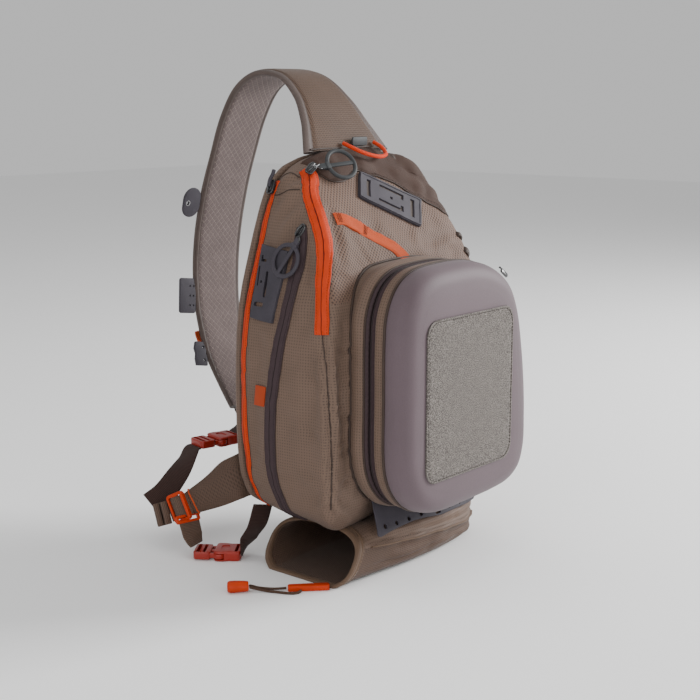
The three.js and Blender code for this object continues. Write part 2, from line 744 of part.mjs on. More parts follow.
function wing() {
  const points = wingRows.map(({ centre }) => point(...centre));
  const rings = wingRows.map(({ half }, i) => {
    const before = points[Math.max(i - 1, 0)];
    const after = points[Math.min(i + 1, points.length - 1)];
    const tangent = after.clone().sub(before).normalize();
    const across = point(0, 0, 1).addScaledVector(tangent, -tangent.z).normalize();
    const normal = tangent.cross(across).normalize();
    const section = [[-1, 0], [-0.9, 0.5], [0.9, 0.5], [1, 0], [0.9, -0.5], [-0.9, -0.5]];
    return section.map(([u, v]) => points[i].clone().addScaledVector(across, u * half)
      .addScaledVector(normal, v * wingThickness));
  });
  return loft(rings).subtract(padForm(seamGap)).subtract(bodyForm(seamGap));
}

// The slotted frame at the wing's tip that the webbing runs through
const frameMiddle = point(-146, 142, 49);
const frameAlong = point(0.2, -0.86, 0.45);
const frameNormal = point(-0.95, -0.25, 0.1);

function ladderLock() {
  const bar = 3.5;
  const length = 22;
  const height = webbingWidth + 2 * bar;
  const windowWidth = (length - 3 * bar) / 2;
  const window = roundedRectangle(windowWidth, webbingWidth, 1, 1);
  const holes = [moved(window, (windowWidth + bar) / 2, 0), moved(window, -(windowWidth + bar) / 2, 0)];
  const outline = roundedRectangle(length, height, 3.5, 3);
  return plate(outline, 4.5, frameMiddle, frameAlong, frameNormal, holes);
}

// Webbing between the hardware. Rows: centre, and the direction across the webbing.
const strapEndRows = [
  [[-17, 178, 124], [1, 0.2, 0]],
  [[-24, 174, 112], [0.6, 0.8, 0]],
  [[-35.4, 170.4, 103.1], [0.22, 0.97, 0]],
];
const strapWebbingRows = [
  [[-84.8, 181.7, 95.9], [0.22, 0.97, 0]],
  [[-88.6, 182.6, 95.3], [0.22, 0.97, 0]],
  [[-101, 178, 87], [0.2, 1, 0.1]],
  [[-120, 173, 74], [0.2, 0.8, 0.55]],
  [[-142, 172, 58], [0.1, 0.6, 0.8]],
  [[-156, 178.5, 47.5], [0, 0.47, 0.88]],
];
const rollRows = [
  [[-158.5, 168.5, 36.5], [0, 0.45, 0.88]],
  [[-150.9, 152.9, 42.4], [0, 0.45, 0.88]],
];
const waistRows = [
  [[-145.5, 129.5, 36.4], [0.95, -0.2, 0]],
  [[-147.5, 122, 22], [0.95, -0.1, 0]],
  [[-146.5, 117.5, 12.5], [0.9, 0.3, 0]],
];
const returnRows = [
  [[-118.5, 75.3, 7], [0.805, 0.593, 0]],
  [[-116, 70, 22], [0.95, -0.1, 0]],
  [[-112, 61, 38], [0.95, -0.2, 0]],
  [[-108, 54, 64], [0.95, -0.2, 0]],
];

// The webbing from the lower buckle up to the foot of the body
function waistReturn() {
  const strip = band(returnRows, webbingWidth, webbingThickness);
  return strip.subtract(bodyForm(seamGap)).subtract(padForm(seamGap)).subtract(sleeveForm(seamGap));
}

const rollThickness = 8;
const upperBuckleMiddle = point(-60, 176, 99.5);
const upperBuckleAlong = point(-48, 11, -7);
const lowerBuckleMiddle = point(-134.5, 97, buckleThickness / 2);
const lowerBuckleAlong = point(28, -38, 0);
const up = point(0, 0, 1);

// The pull of the sleeve's zip, lying on the floor: an end piece, two strands of cord and a toggle
const zipEndFrom = point(-128.5, -53.4, 0);
const zipEndTo = point(-158.5, -25, 0);
const zipEndThickness = 6;
const toggleFrom = point(-185, 3, toggleDiameter / 2);
const toggleTo = point(-185 - 0.733 * toggleLength, 3 + 0.68 * toggleLength, toggleDiameter / 2);

// Routes of the two strands, chosen by hand
const pullCordRoute = [
  [-159, -23.9, 3], [-162, -20.6, 2.7], [-165, -16.5, 2.2], [-167.5, -12, 1.8], [-170, -7.6, 1.7],
  [-173, -3.6, 2.1], [-176.6, -0.6, 3.2], [-180.1, 1.6, 4.8], [-183.3, 3.6, 6.1],
];
const returnCordRoute = [
  [-153, -37.5, 1.8], [-157, -38.4, 1.5], [-161.5, -36.5, 1.4], [-165, -32, 1.4], [-168, -26, 1.4],
  [-171, -19.6, 1.4], [-174.4, -13, 1.6], [-177.8, -7.4, 2.4], [-181.6, -2.8, 3.9], [-185.6, 1.2, 5.5],
];
function route(rows, start = point(0, 0, 0)) {
  return new THREE.CatmullRomCurve3(rows.map((row) => point(...row).add(start)), false, 'centripetal');
}

function zipEnd() {
  const direction = zipEndTo.clone().sub(zipEndFrom);
  const middle = zipEndFrom.clone().add(zipEndTo).multiplyScalar(0.5);
  return plate(roundedRectangle(direction.length(), 8, 2.5), zipEndThickness, middle, direction, up);
}

function pullToggle() {
  const radius = toggleDiameter / 2;
  const profile = [[0, 0], [radius * 0.72, 0], [radius * 0.86, 0.12], [radius, 0.3], [radius, 0.88], [radius * 0.8, 1], [0, 1]];
  const points = profile.map(([x, y]) => new THREE.Vector2(x, y * toggleLength));
  const lathe = new THREE.LatheGeometry(points, 12);
  const axis = toggleTo.clone().sub(toggleFrom).normalize();
  const matrix = new THREE.Matrix4().makeBasis(axis.clone().cross(up), axis, up).setPosition(toggleFrom);
  return solid(lathe.applyMatrix4(matrix));
}

// The cord loop and its tab at the foot of the strap
const strapFoot = point(0, strapFootY, strapFootZ);
const loopRoute = [
  [-10, -3.4, 8.7], [-9, -11, 5.7], [-3, -20, 0.7], [10, -26, -3.8], [25, -27, -5.3], [36, -23.5, -2.8],
  [40, -14, 3.7], [40, -3.4, 8.7],
];

const cordLoop = () => tube(route(loopRoute, strapFoot), cordDiameter, 16);

function loopTab() {
  const thickness = 2;
  const middle = strapFoot.clone().add(point(15, -3.6, 10.2));
  return plate(roundedRectangle(24, 9, 2), thickness, middle, point(1, 0, 0), point(0, -1, 0));
}

// Sliders and pulls of the zips
function cornerPlace(up, raise) {
  const { place, normal } = outlinePoint(bodyCurve, leftShareAt(bodyCurve, bodyFloor + up * bodyHeight));
  const inset = 0.29 * bodyCornerRadius;
  const y = frontY(place.z) + inset - raise;
  const out = place.clone().addScaledVector(normal, raise - inset).setY(y);
  return { place: out, normal: normal.clone().add(point(0, -1, 0)).normalize(), alongX: point(-normal.z, 0, normal.x) };
}

const sliderRaise = seamGap + tapeThickness + seamGap + 0.4;

const mainSliderPlace = cornerPlace(mainZip.top - 0.004, sliderRaise);
const mainZipSlider = () => slider(mainSliderPlace.place, mainSliderPlace.alongX, mainSliderPlace.normal);

// The ring pull lies on the yoke, to the right of its slider
function mainZipPull() {
  const centre = mainSliderPlace.place.clone().add(point(34.8, -9.7, 3.9));
  return ringPull(centre, point(-1, 0, 0.1), point(-0.25, -0.78, 0.55), 13);
}

function gussetSlider(upShare, y, lean) {
  const { place, normal } = onGusset(upShare, y, sliderRaise);
  place.addScaledVector(normal, 0.3);
  return slider(place, point(0, lean, 1), normal);
}

function sideZipPull() {
  const { place, normal } = onGusset(0.715, 4, seamGap + plateThickness + seamGap + ringPullWire / 2 + 1.2);
  return ringPull(place, point(0, -0.45, 0.9), normal, 11);
}

function pocketZipPull() {
  const { place, normal } = outlinePoint(pocketCurve, 0.655);
  const middle = place.addScaledVector(normal, seamGap - pocketZipInset).setY(gussetFront - pocketZipDepth / 2);
  return plate(roundedRectangle(16, 7, 2.5), 4, middle, point(-normal.z, 0, normal.x), normal);
}

function toMesh(name, manifold, color, roughness, metalness = 0) {
  const { vertProperties, triVerts } = manifold.getMesh();
  const geometry = closedGeometry(vertProperties, new THREE.BufferAttribute(triVerts, 1));
  geometry.computeVertexNormals();
  const mesh = new THREE.Mesh(geometry, new THREE.MeshStandardMaterial({ color, roughness, metalness }));
  mesh.name = name;
  return mesh;
}

const pieces = [
  ['body_shell', bodyShell(), cloth.taupe, 0.85],
  ['back_pad', backPad(), cloth.mesh, 0.9],
  ['yoke', yoke(), cloth.taupe, 0.8],
  ['main_zip_tape', zipTape(mainZip, mainZipSpan(mainTapeWidth)), cloth.orange, 0.6],
  ['main_zip_slider', mainZipSlider(), plastic.black, 0.35],
  ['main_zip_pull', mainZipPull(), plastic.sage, 0.6],
  ['rear_zip_tape', zipTape(rearZip, rearZipSpan(rearTapeWidth)), cloth.orange, 0.6],
  ['rear_zip_slider', gussetSlider(rearZip.top - 0.025, backY(bodyFloor + 0.9 * bodyHeight) - rearZipSetback, 0), plastic.black, 0.35],
  ['side_zip_tape', zipTape(sideZip, sideZipSpan(sideTapeWidth)), cloth.dark, 0.6],
  ['side_zip_slider', gussetSlider(sideZip.top - 0.01, sideZipMiddle(350), -0.5), plastic.black, 0.35],
  ['side_zip_pull', sideZipPull(), plastic.black, 0.5],
  ['side_lash_plate', sideLashPlate(), plastic.slate, 0.7],
  ['side_web_tab', sideWebTab(), cloth.orange, 0.7],
  ['top_lash_plate', topLashPlate(), plastic.slate, 0.7],
  ['gear_webbing', gearWebbing(), cloth.orange, 0.7],
  ['cord_loop', cordLoop(), cloth.orange, 0.6],
  ['cord_loop_tab', loopTab(), plastic.sage, 0.7],
  ['pocket_gusset', pocketRing(gussetFront, -20, 0, pocketWall).subtract(bodyForm(seamGap)), cloth.taupe, 0.85],
  ['pocket_zip', pocketRing(zipFront, gussetFront - seamGap, pocketZipInset, pocketWall), cloth.dark, 0.6],
  ['pocket_band', pocketRing(bandFront, zipFront - seamGap, 0, pocketWall), cloth.taupe, 0.85],
  ['pocket_shell', pocketShell(), plastic.shell, 0.75],
  ['felt_patch', feltPatch(), cloth.felt, 1],
  ['pocket_zip_pull', pocketZipPull(), plastic.black, 0.4],
  ['vent_tab', ventTab(), plastic.slate, 0.7],
  ['bottle_sleeve', bottleSleeve(), cloth.taupe, 0.85],
  ['sleeve_binding', sleeveBinding(), cloth.taupe, 0.8],
  ['sleeve_zip_end', zipEnd(), plastic.orange, 0.5],
  ['pull_cord', tube(route(pullCordRoute), pullCordDiameter, 8), cloth.dark, 0.8],
  ['pull_cord_return', tube(route(returnCordRoute), pullCordDiameter, 10), cloth.dark, 0.8],
  ['pull_toggle', pullToggle(), plastic.orange, 0.4],
  ['shoulder_strap', shoulderStrap(), cloth.mesh, 0.9],
  ['strap_round_tab', strapSideTab(0.585, 25, 34, 12.4, 2.5), plastic.slate, 0.7],
  ['strap_lash_tab', strapSideTab(0.755, 21, 39, 3, 2.5), plastic.slate, 0.7],
  ['strap_clip', strapSideTab(0.86, 15, 28, 5, 3), plastic.slate, 0.6],
  ['strap_end_webbing', band(strapEndRows, webbingWidth, webbingThickness), cloth.dark, 0.85],
  ['upper_buckle', buckle(upperBuckleMiddle, upperBuckleAlong, up), plastic.orange, 0.4],
  ['strap_webbing', band(strapWebbingRows, webbingWidth, webbingThickness), cloth.dark, 0.85],
  ['webbing_roll', band(rollRows, webbingWidth, rollThickness), cloth.dark, 0.85],
  ['ladder_lock', ladderLock(), plastic.orange, 0.4],
  ['wing', wing(), cloth.taupe, 0.85],
  ['waist_webbing', band(waistRows, webbingWidth, webbingThickness), cloth.dark, 0.85],
  ['lower_buckle', buckle(lowerBuckleMiddle, lowerBuckleAlong, up), plastic.orange, 0.4],
  ['waist_webbing_return', waistReturn(), cloth.dark, 0.85],
];

const group = new THREE.Group();
for (const [name, manifold, color, roughness] of pieces) {
  group.add(toMesh(name, manifold, color, roughness));
}

export default group;
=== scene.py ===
import math

import bpy
from mathutils import Matrix, Vector, noise
from mathutils.bvhtree import BVHTree
from mathutils.kdtree import KDTree


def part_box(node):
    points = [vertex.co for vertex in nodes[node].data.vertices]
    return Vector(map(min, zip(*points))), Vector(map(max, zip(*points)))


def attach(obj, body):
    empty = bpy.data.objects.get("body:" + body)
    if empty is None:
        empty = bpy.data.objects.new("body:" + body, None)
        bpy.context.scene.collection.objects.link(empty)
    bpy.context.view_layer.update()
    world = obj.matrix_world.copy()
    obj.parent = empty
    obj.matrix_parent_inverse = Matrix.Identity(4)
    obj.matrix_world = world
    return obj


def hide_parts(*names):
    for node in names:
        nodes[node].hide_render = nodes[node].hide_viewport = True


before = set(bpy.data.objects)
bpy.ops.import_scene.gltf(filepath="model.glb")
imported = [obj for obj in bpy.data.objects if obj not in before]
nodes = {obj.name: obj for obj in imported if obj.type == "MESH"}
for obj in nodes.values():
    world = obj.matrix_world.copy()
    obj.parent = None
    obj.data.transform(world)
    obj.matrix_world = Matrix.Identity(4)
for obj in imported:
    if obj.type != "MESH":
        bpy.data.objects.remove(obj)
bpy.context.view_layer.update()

MM = 0.001
BACKWARD = Vector((0, 1, 0))
FORWARD = Vector((0, -1, 0))
UP = Vector((0, 0, 1))


# Camera, at the photograph's viewing angle

CAMERA_PLACE = Vector((-1.0501, -0.8534, 0.4788))
CAMERA_AZIMUTH = math.radians(50)
CAMERA_ELEVATION = math.radians(11)
CAMERA_LENS = 66.86


def add_camera():
    data = bpy.data.cameras.new("camera")
    data.lens = CAMERA_LENS
    data.sensor_width = 36
    camera = bpy.data.objects.new("camera", data)
    bpy.context.scene.collection.objects.link(camera)
    level = math.cos(CAMERA_ELEVATION)
    looking = Vector((
        math.sin(CAMERA_AZIMUTH) * level,
        math.cos(CAMERA_AZIMUTH) * level,
        -math.sin(CAMERA_ELEVATION),
    ))
    camera.location = CAMERA_PLACE
    camera.rotation_euler = looking.to_track_quat("-Z", "Y").to_euler()
    bpy.context.scene.camera = camera


add_camera()


# Meshes from rings and grids, and how a piece is finished

def activate(piece):
    bpy.ops.object.select_all(action="DESELECT")
    piece.select_set(True)
    bpy.context.view_layer.objects.active = piece


def take(piece, slot, replaces, smooth):
    """Shade a piece up to an angle in degrees, hide the solids it replaces and let it ride on the bag. The
    slot is not used.
    """
    activate(piece)
    if smooth:
        bpy.ops.object.shade_smooth_by_angle(angle=math.radians(smooth))
    if replaces:
        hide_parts(*replaces)
    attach(piece, "root")
    return piece


def apply_modifier(piece, kind, **settings):
    activate(piece)
    modifier = piece.modifiers.new("step", kind)
    for name, value in settings.items():
        setattr(modifier, name, value)
    bpy.ops.object.modifier_apply(modifier=modifier.name)


def ease_edges(piece, width, segments):
    apply_modifier(piece, "BEVEL", width=width * MM, segments=segments, limit_method="ANGLE",
                   angle_limit=math.radians(35))


def outward(piece):
    activate(piece)
    bpy.ops.object.mode_set(mode="EDIT")
    bpy.ops.mesh.select_all(action="SELECT")
    bpy.ops.mesh.remove_doubles(threshold=0.00001)
    bpy.ops.mesh.normals_make_consistent(inside=False)
    bpy.ops.object.mode_set(mode="OBJECT")


def add_mesh(name, points, faces, materials):
    mesh = bpy.data.meshes.new(name)
    mesh.from_pydata(points, [], faces)
    for material in materials:
        mesh.materials.append(material)
    piece = bpy.data.objects.new(name, mesh)
    bpy.context.scene.collection.objects.link(piece)
    return piece


def loft(name, rings, materials, uv=None, face_material=None, closed=False):
    """A skin over rings of equally many points. closed joins the last ring to the first."""
    count = len(rings[0])
    points = [p for ring in rings for p in ring]
    faces = []
    corners = []
    spans = len(rings) if closed else len(rings) - 1
    for r in range(spans):
        for i in range(count):
            after = (r + 1) % len(rings)
            here = (i + 1) % count
            faces.append((r * count + i, r * count + here, after * count + here, after * count + i))
            corners.append(((r, i), (r, i + 1), (r + 1, i + 1), (r + 1, i)))
    if not closed:
        for r in (0, len(rings) - 1):
            hub = len(points)
            points.append(sum(rings[r], Vector()) / count)
            for i in range(count):
                faces.append((r * count + i, r * count + (i + 1) % count, hub))
                corners.append(((r, i), (r, i + 1), (r, i)))
    piece = add_mesh(name, points, faces, materials)
    mesh = piece.data
    if uv:
        layer = mesh.uv_layers.new(name="cloth")
        for polygon, keys in zip(mesh.polygons, corners):
            for loop, key in zip(polygon.loop_indices, keys):
                layer.data[loop].uv = uv(*key)
    if face_material:
        for polygon, keys in zip(mesh.polygons, corners):
            polygon.material_index = face_material(*keys[0])
    mesh.validate()
    outward(piece)
    return piece


def tree_of(*objects):
    points = []
    faces = []
    for thing in objects:
        start = len(points)
        points += [v.co.copy() for v in thing.data.vertices]
        faces += [[start + k for k in p.vertices] for p in thing.data.polygons]
    return BVHTree.FromPolygons(points, faces)


def metres(rows):
    """Places given in millimetres, as vectors in metres"""
    return [Vector(row) * MM for row in rows]


def heading(path, i):
    """The direction of a path at one of its points"""
    return (path[min(i + 1, len(path) - 1)] - path[max(i - 1, 0)]).normalized()


def distances(path):
    """How far along a path each of its points is"""
    reach = [0]
    for a, b in zip(path, path[1:]):
        reach.append(reach[-1] + (b - a).length)
    return reach


def in_between(values, steps):
    """Values with evenly many steps between each and the next"""
    found = []
    for a, b in zip(values, values[1:]):
        found += [a + (b - a) * k / steps for k in range(steps)]
    return found + [values[-1]]


def softened(values):
    """Each value but the first and last averaged with its neighbours"""
    middle = [(a + 2 * b + c) / 4 for a, b, c in zip(values, values[1:], values[2:])]
    return [values[0]] + middle + [values[-1]]


def squared(value, power):
    """A sine or cosine bent towards a square, with its sign kept"""
    return math.copysign(abs(value) ** power, value)


def from_front(tree, x, z, start):
    """The place where a line from the front, at a spot in the front view, meets some solids"""
    return tree.ray_cast(Vector((x, start, z)), BACKWARD)[0]


def from_back(tree, x, z):
    return tree.ray_cast(Vector((x, 0.3, z)), FORWARD)[0]


def smooth_path(rows, steps):
    """A centripetal curve through given points, with evenly many steps between them."""
    points = [Vector(row) for row in rows]
    points = [2 * points[0] - points[1]] + points + [2 * points[-1] - points[-2]]
    path = []
    for i in range(1, len(points) - 2):
        a, b, c, d = points[i - 1:i + 3]
        t1 = (b - a).length ** 0.5
        t2 = t1 + (c - b).length ** 0.5
        t3 = t2 + (d - c).length ** 0.5
        for k in range(steps):
            t = t1 + (t2 - t1) * k / steps
            ab = a.lerp(b, t / t1)
            bc = b.lerp(c, (t - t1) / (t2 - t1))
            cd = c.lerp(d, (t - t2) / (t3 - t2))
            path.append(ab.lerp(bc, t / t2).lerp(bc.lerp(cd, (t - t1) / (t3 - t1)), (t - t1) / (t2 - t1)))
    path.append(points[-2])
    return path


def tube(name, path, radius, material, sides=10, flatness=1):
    """A tube along a path, with round sections that may be flattened."""
    rings = []
    for i, place in enumerate(path):
        along = heading(path, i)
        side = along.cross(UP)
        if side.length < 0.05:
            side = along.cross(BACKWARD)
        side.normalize()
        rise = side.cross(along)
        rings.append([
            place + side * radius * math.cos(2 * math.pi * k / sides)
            + rise * radius * flatness * math.sin(2 * math.pi * k / sides)
            for k in range(sides)
        ])
    length = distances(path)
    around = 2 * math.pi * radius / sides
    return loft(name, rings, [material], uv=lambda r, i: (i * around, length[min(r, len(length) - 1)]))


# Materials

def srgb(code):
    """The linear colour of an sRGB hex value"""
    parts = [int(code[i:i + 2], 16) / 255 for i in (0, 2, 4)]
    linear = [c / 12.92 if c <= 0.04045 else ((c + 0.055) / 1.055) ** 2.4 for c in parts]
    return (*linear, 1)


def add_node(material, kind, inputs, **settings):
    """One node with its settings; an input is a value or the socket that feeds it"""
    tree = material.node_tree
    node = tree.nodes.new(kind)
    for name, value in settings.items():
        setattr(node, name, value)
    for name, value in inputs.items():
        if isinstance(value, bpy.types.NodeSocket):
            tree.links.new(value, node.inputs[name])
        else:
            node.inputs[name].default_value = value
    return node


def new_material(name, roughness, metallic=0.0, sheen=0.0, coat=0.0):
    material = bpy.data.materials.new(name)
    material.use_nodes = True
    shader = material.node_tree.nodes["Principled BSDF"]
    shader.inputs["Roughness"].default_value = roughness
    shader.inputs["Metallic"].default_value = metallic
    shader.inputs["Sheen Weight"].default_value = sheen
    shader.inputs["Sheen Roughness"].default_value = 0.5
    shader.inputs["Coat Weight"].default_value = coat
    shader.inputs["Specular IOR Level"].default_value = 0.5 if roughness < 0.5 else 0.22
    return material, shader


def coordinates(material, on_cloth, turn=0.0):
    """Real distances in millimetres, along the cloth's own map or in the bag's frame"""
    if on_cloth:
        source = add_node(material, "ShaderNodeUVMap", {}, uv_map="cloth").outputs["UV"]
    else:
        source = add_node(material, "ShaderNodeTexCoord", {}).outputs["Object"]
    mapping = add_node(material, "ShaderNodeMapping", {"Vector": source, "Scale": (1000, 1000, 1000)})
    mapping.inputs["Rotation"].default_value = (0, 0, turn)
    return mapping.outputs["Vector"]


def ramp(material, value, low, high, start=0.0, end=1.0):
    node = add_node(material, "ShaderNodeMapRange", {
        "Value": value, "From Min": low, "From Max": high, "To Min": start, "To Max": end,
    })
    return node.outputs["Result"]


def noise_field(material, vector, scale, detail=3.0):
    node = add_node(material, "ShaderNodeTexNoise", {"Vector": vector, "Scale": scale, "Detail": detail})
    return node.outputs["Fac"]


def square_grid(material, vector, spacing, low, high, feature="F1"):
    """A square grid of dots, 0 at the middle of each, or with DISTANCE_TO_EDGE of lines, 0 on each"""
    node = add_node(material, "ShaderNodeTexVoronoi", {
        "Vector": vector, "Scale": 1 / spacing, "Randomness": 0.0,
    }, voronoi_dimensions="2D", feature=feature)
    return ramp(material, node.outputs["Distance"], low, high)


def mixed(material, factor, dark, light):
    node = add_node(material, "ShaderNodeMix", {"Factor": factor}, data_type="RGBA")
    node.inputs[6].default_value = srgb(dark)
    node.inputs[7].default_value = srgb(light)
    return node.outputs[2]


def times(material, colour, factor, low, high):
    """A colour made lighter and darker by a factor from 0 to 1"""
    grey = ramp(material, factor, 0.3, 0.7, low, high)
    node = add_node(material, "ShaderNodeMix", {"Factor": 1.0}, data_type="RGBA", blend_type="MULTIPLY")
    material.node_tree.links.new(colour, node.inputs[6])
    material.node_tree.links.new(grey, node.inputs[7])
    return node.outputs[2]


def finish_surface(material, shader, colour, height, depth):
    """Feed the colour, and a bump whose depth is in millimetres"""
    bump = add_node(material, "ShaderNodeBump", {"Height": height, "Strength": 1.0, "Distance": depth * MM})
    material.node_tree.links.new(colour, shader.inputs["Base Color"])
    material.node_tree.links.new(bump.outputs["Normal"], shader.inputs["Normal"])


def finish_pattern(material, shader, pattern, tones, cloud, shades, depth):
    """A pattern between two tones that also raises the surface, shaded by a cloud"""
    colour = times(material, mixed(material, pattern, *tones), cloud, *shades)
    finish_surface(material, shader, colour, pattern, depth)
    return material


def pin_dot_nylon(name, dark, light, spacing, depth=0.35, turn=45, small=0.16, large=0.42):
    """Coated nylon woven with rows of pin dots. It is matt, with a soft sheen across its folds."""
    material, shader = new_material(name, 0.62, sheen=0.06)
    vector = coordinates(material, True, math.radians(turn))
    dots = square_grid(material, vector, spacing, small, large)
    cloud = noise_field(material, vector, 0.02, 4.0)
    return finish_pattern(material, shader, dots, (dark, light), cloud, (0.9, 1.08), depth)


def plain_nylon(name, dark, light, thread=0.9, roughness=0.5):
    """Coated nylon in a plain weave. It has a faint grain of threads and a slight gloss."""
    material, shader = new_material(name, roughness, sheen=0.04)
    vector = coordinates(material, True)
    threads = square_grid(material, vector, thread, 0.2, 0.6)
    cloud = noise_field(material, vector, 0.035, 5.0)
    return finish_pattern(material, shader, threads, (dark, light), cloud, (0.86, 1.1), 0.12)


def air_mesh(name, dark, light, spacing):
    """Spacer mesh over foam. Light threads cross in a diamond lattice over darker foam."""
    material, shader = new_material(name, 0.85, sheen=0.06)
    vector = coordinates(material, True, math.radians(45))
    lines = square_grid(material, vector, spacing, 0.02, 0.09, "DISTANCE_TO_EDGE")
    small = square_grid(material, vector, 1.5, 0.2, 0.5)
    cloud = noise_field(material, vector, 0.05)
    colour = times(material, mixed(material, lines, light, dark), cloud, 0.92, 1.08)
    colour = times(material, colour, small, 0.8, 1.05)
    finish_surface(material, shader, colour, lines, 0.5)
    return material


def bands(material, vector, spacing, axis, **settings):
    """Fine bands across or along the cloth's map, as threads and drawn tape have"""
    return add_node(material, "ShaderNodeTexWave", {
        "Vector": vector, "Scale": 0.314 / spacing, **settings,
    }, bands_direction=axis).outputs["Fac"]


def woven_webbing(name, dark, light, rib=1.6):
    """Woven polyester webbing, with fine ribs across it and a low sheen."""
    material, shader = new_material(name, 0.75, sheen=0.05)
    vector = coordinates(material, True)
    ribs = bands(material, vector, rib, "Y", Distortion=0.4, Detail=1.0)
    threads = square_grid(material, vector, 0.9, 0.15, 0.55)
    return finish_pattern(material, shader, ribs, (dark, light), threads, (0.82, 1.08), 0.3)


def coated_tape(name, dark, light):
    """Zip tape with a rubbery coat, smooth and matt, with fine lines along it."""
    material, shader = new_material(name, 0.62)
    vector = coordinates(material, True)
    lines = bands(material, vector, 1.2, "X", Distortion=0.2)
    cloud = noise_field(material, vector, 0.12, 4.0)
    return finish_pattern(material, shader, lines, (dark, light), cloud, (0.92, 1.06), 0.08)


def wool_felt(name, dark, light):
    """Pressed wool felt. Its fibres give soft specks, and it has no gloss at all."""
    material, shader = new_material(name, 1.0, sheen=0.08)
    vector = coordinates(material, False)
    fine = noise_field(material, vector, 1.0)
    coarse = noise_field(material, vector, 0.16)
    specks = ramp(material, fine, 0.38, 0.6)
    colour = times(material, mixed(material, specks, dark, light), coarse, 0.9, 1.1)
    finish_surface(material, shader, colour, fine, 0.9)
    return material


def moulded_foam(name, dark, light):
    """Moulded foam under stretched cloth. It is smooth and matt, with a very fine weave."""
    material, shader = new_material(name, 0.58, sheen=0.08)
    vector = coordinates(material, False)
    fine = noise_field(material, vector, 1.1, 2.0)
    coarse = noise_field(material, vector, 0.012)
    return finish_pattern(material, shader, fine, (dark, light), coarse, (0.94, 1.06), 0.1)


def moulded_part(name, dark, light, roughness=0.45, coat=0.0, metallic=0.0):
    """A moulded part. Rubber is matt, acetal has a gloss and painted zinc a harder one."""
    material, shader = new_material(name, roughness, metallic=metallic, coat=coat)
    vector = coordinates(material, False)
    fine = noise_field(material, vector, 1.4)
    coarse = noise_field(material, vector, 0.06)
    return finish_pattern(material, shader, fine, (dark, light), coarse, (0.9, 1.1), 0.05)


FRONT_CLOTH = pin_dot_nylon("pin-dot ripstop nylon", "3F302A", "695245", 3.0)
SIDE_CLOTH = pin_dot_nylon("fine ripstop nylon", "483A32", "665347", 2.9, 0.2, 0, 0.05, 0.36)
SLEEVE_CLOTH = pin_dot_nylon("sleeve ripstop nylon", "3D2F26", "523F34", 2.2, 0.2, 30)
STRAP_CLOTH = pin_dot_nylon("strap pin-stripe nylon", "392A21", "4D392B", 2.4, 0.25, 0, 0.15, 0.4)
YOKE_CLOTH = plain_nylon("smooth coated nylon", "332017", "402B20", 0.9, 0.7)
BINDING = plain_nylon("folded binding", "342923", "3F312A", 1.4)
LIGHT_BINDING = plain_nylon("grosgrain binding", "594638", "675242", 1.2)
STRAP_EDGE = plain_nylon("strap edge binding", "4A3F3B", "574B46", 1.4)
STRAP_MESH = air_mesh("spacer mesh on the strap", "6A5D5B", "8E807A", 5.6)
PAD_MESH = air_mesh("spacer mesh on the back", "483E3C", "6F605F", 5.0)
ORANGE_TAPE = coated_tape("orange coated zip tape", "AE2E04", "C43A06")
DARK_TAPE = coated_tape("dark coated zip tape", "2F2427", "413235")
GROOVE = moulded_part("zip coil", "1F1618", "291E1F", 0.6)
ORANGE_GROOVE = moulded_part("orange zip coil", "5C1507", "6A1A09", 0.6)
FELT = wool_felt("grey wool felt", "3C3632", "7B7570")
FOAM = moulded_foam("moulded foam shell", "54474C", "5F5156")
RUBBER = moulded_part("slate rubber", "343137", "423E45", 0.62)
SAGE_RUBBER = moulded_part("grey-green rubber", "2D2F30", "3A3C3E", 0.55)
BRIGHT_ACETAL = moulded_part("bright orange acetal", "AC2C02", "B83404", 0.5)
ACETAL = moulded_part("orange acetal", "861403", "941B04", 0.4, coat=0.05)
PALE_METAL = moulded_part("nickel eyelet", "A9A9A9", "C9C9C9", 0.3, metallic=0.9)
BLACK_PAINT = moulded_part("black painted zinc", "161617", "232325", 0.25, coat=0.4)
WEBBING = woven_webbing("dark webbing", "2A1C18", "3E2924")
LIGHT_WEBBING = woven_webbing("folded webbing", "493930", "614D41")
ORANGE_WEBBING = woven_webbing("orange webbing", "A83D16", "C45020", 1.2)
ORANGE_CORD = woven_webbing("orange braided cord", "C02C08", "DA4010", 1.5)
BROWN_CORD = woven_webbing("brown braided cord", "3B2920", "594133", 1.2)
THREAD = plain_nylon("sewing thread", "725C4C", "826B5A")
DARK_THREAD = plain_nylon("dark sewing thread", "2C231F", "342925")


# The pull of the sleeve's zip: two strands of cord from its end piece to the toggle.
# Rows are the routes of the solids, in millimetres.

PULL_CORD_ROUTE = [
    (-159, -23.9, 3), (-162, -20.6, 2.7), (-165, -16.5, 2.2), (-167.5, -12, 1.8), (-170, -7.6, 1.7),
    (-173, -3.6, 2.1), (-176.6, -0.6, 3.2), (-180.1, 1.6, 4.8), (-183.3, 3.6, 6.1),
]
RETURN_CORD_ROUTE = [
    (-153, -37.5, 1.8), (-157, -38.4, 1.5), (-161.5, -36.5, 1.4), (-165, -32, 1.4), (-168, -26, 1.4),
    (-171, -19.6, 1.4), (-174.4, -13, 1.6), (-177.8, -7.4, 2.4), (-181.6, -2.8, 3.9), (-185.6, 1.2, 5.5),
]
PULL_CORD_DIAMETER = 2.6 * MM


def add_pull_cord(name, route, node):
    path = smooth_path(metres(route), 6)
    piece = tube(name, path, PULL_CORD_DIAMETER / 2, BROWN_CORD, 12)
    length = distances(path)[-1]
    take(piece, "brown_cord", [node], 60)


# The body

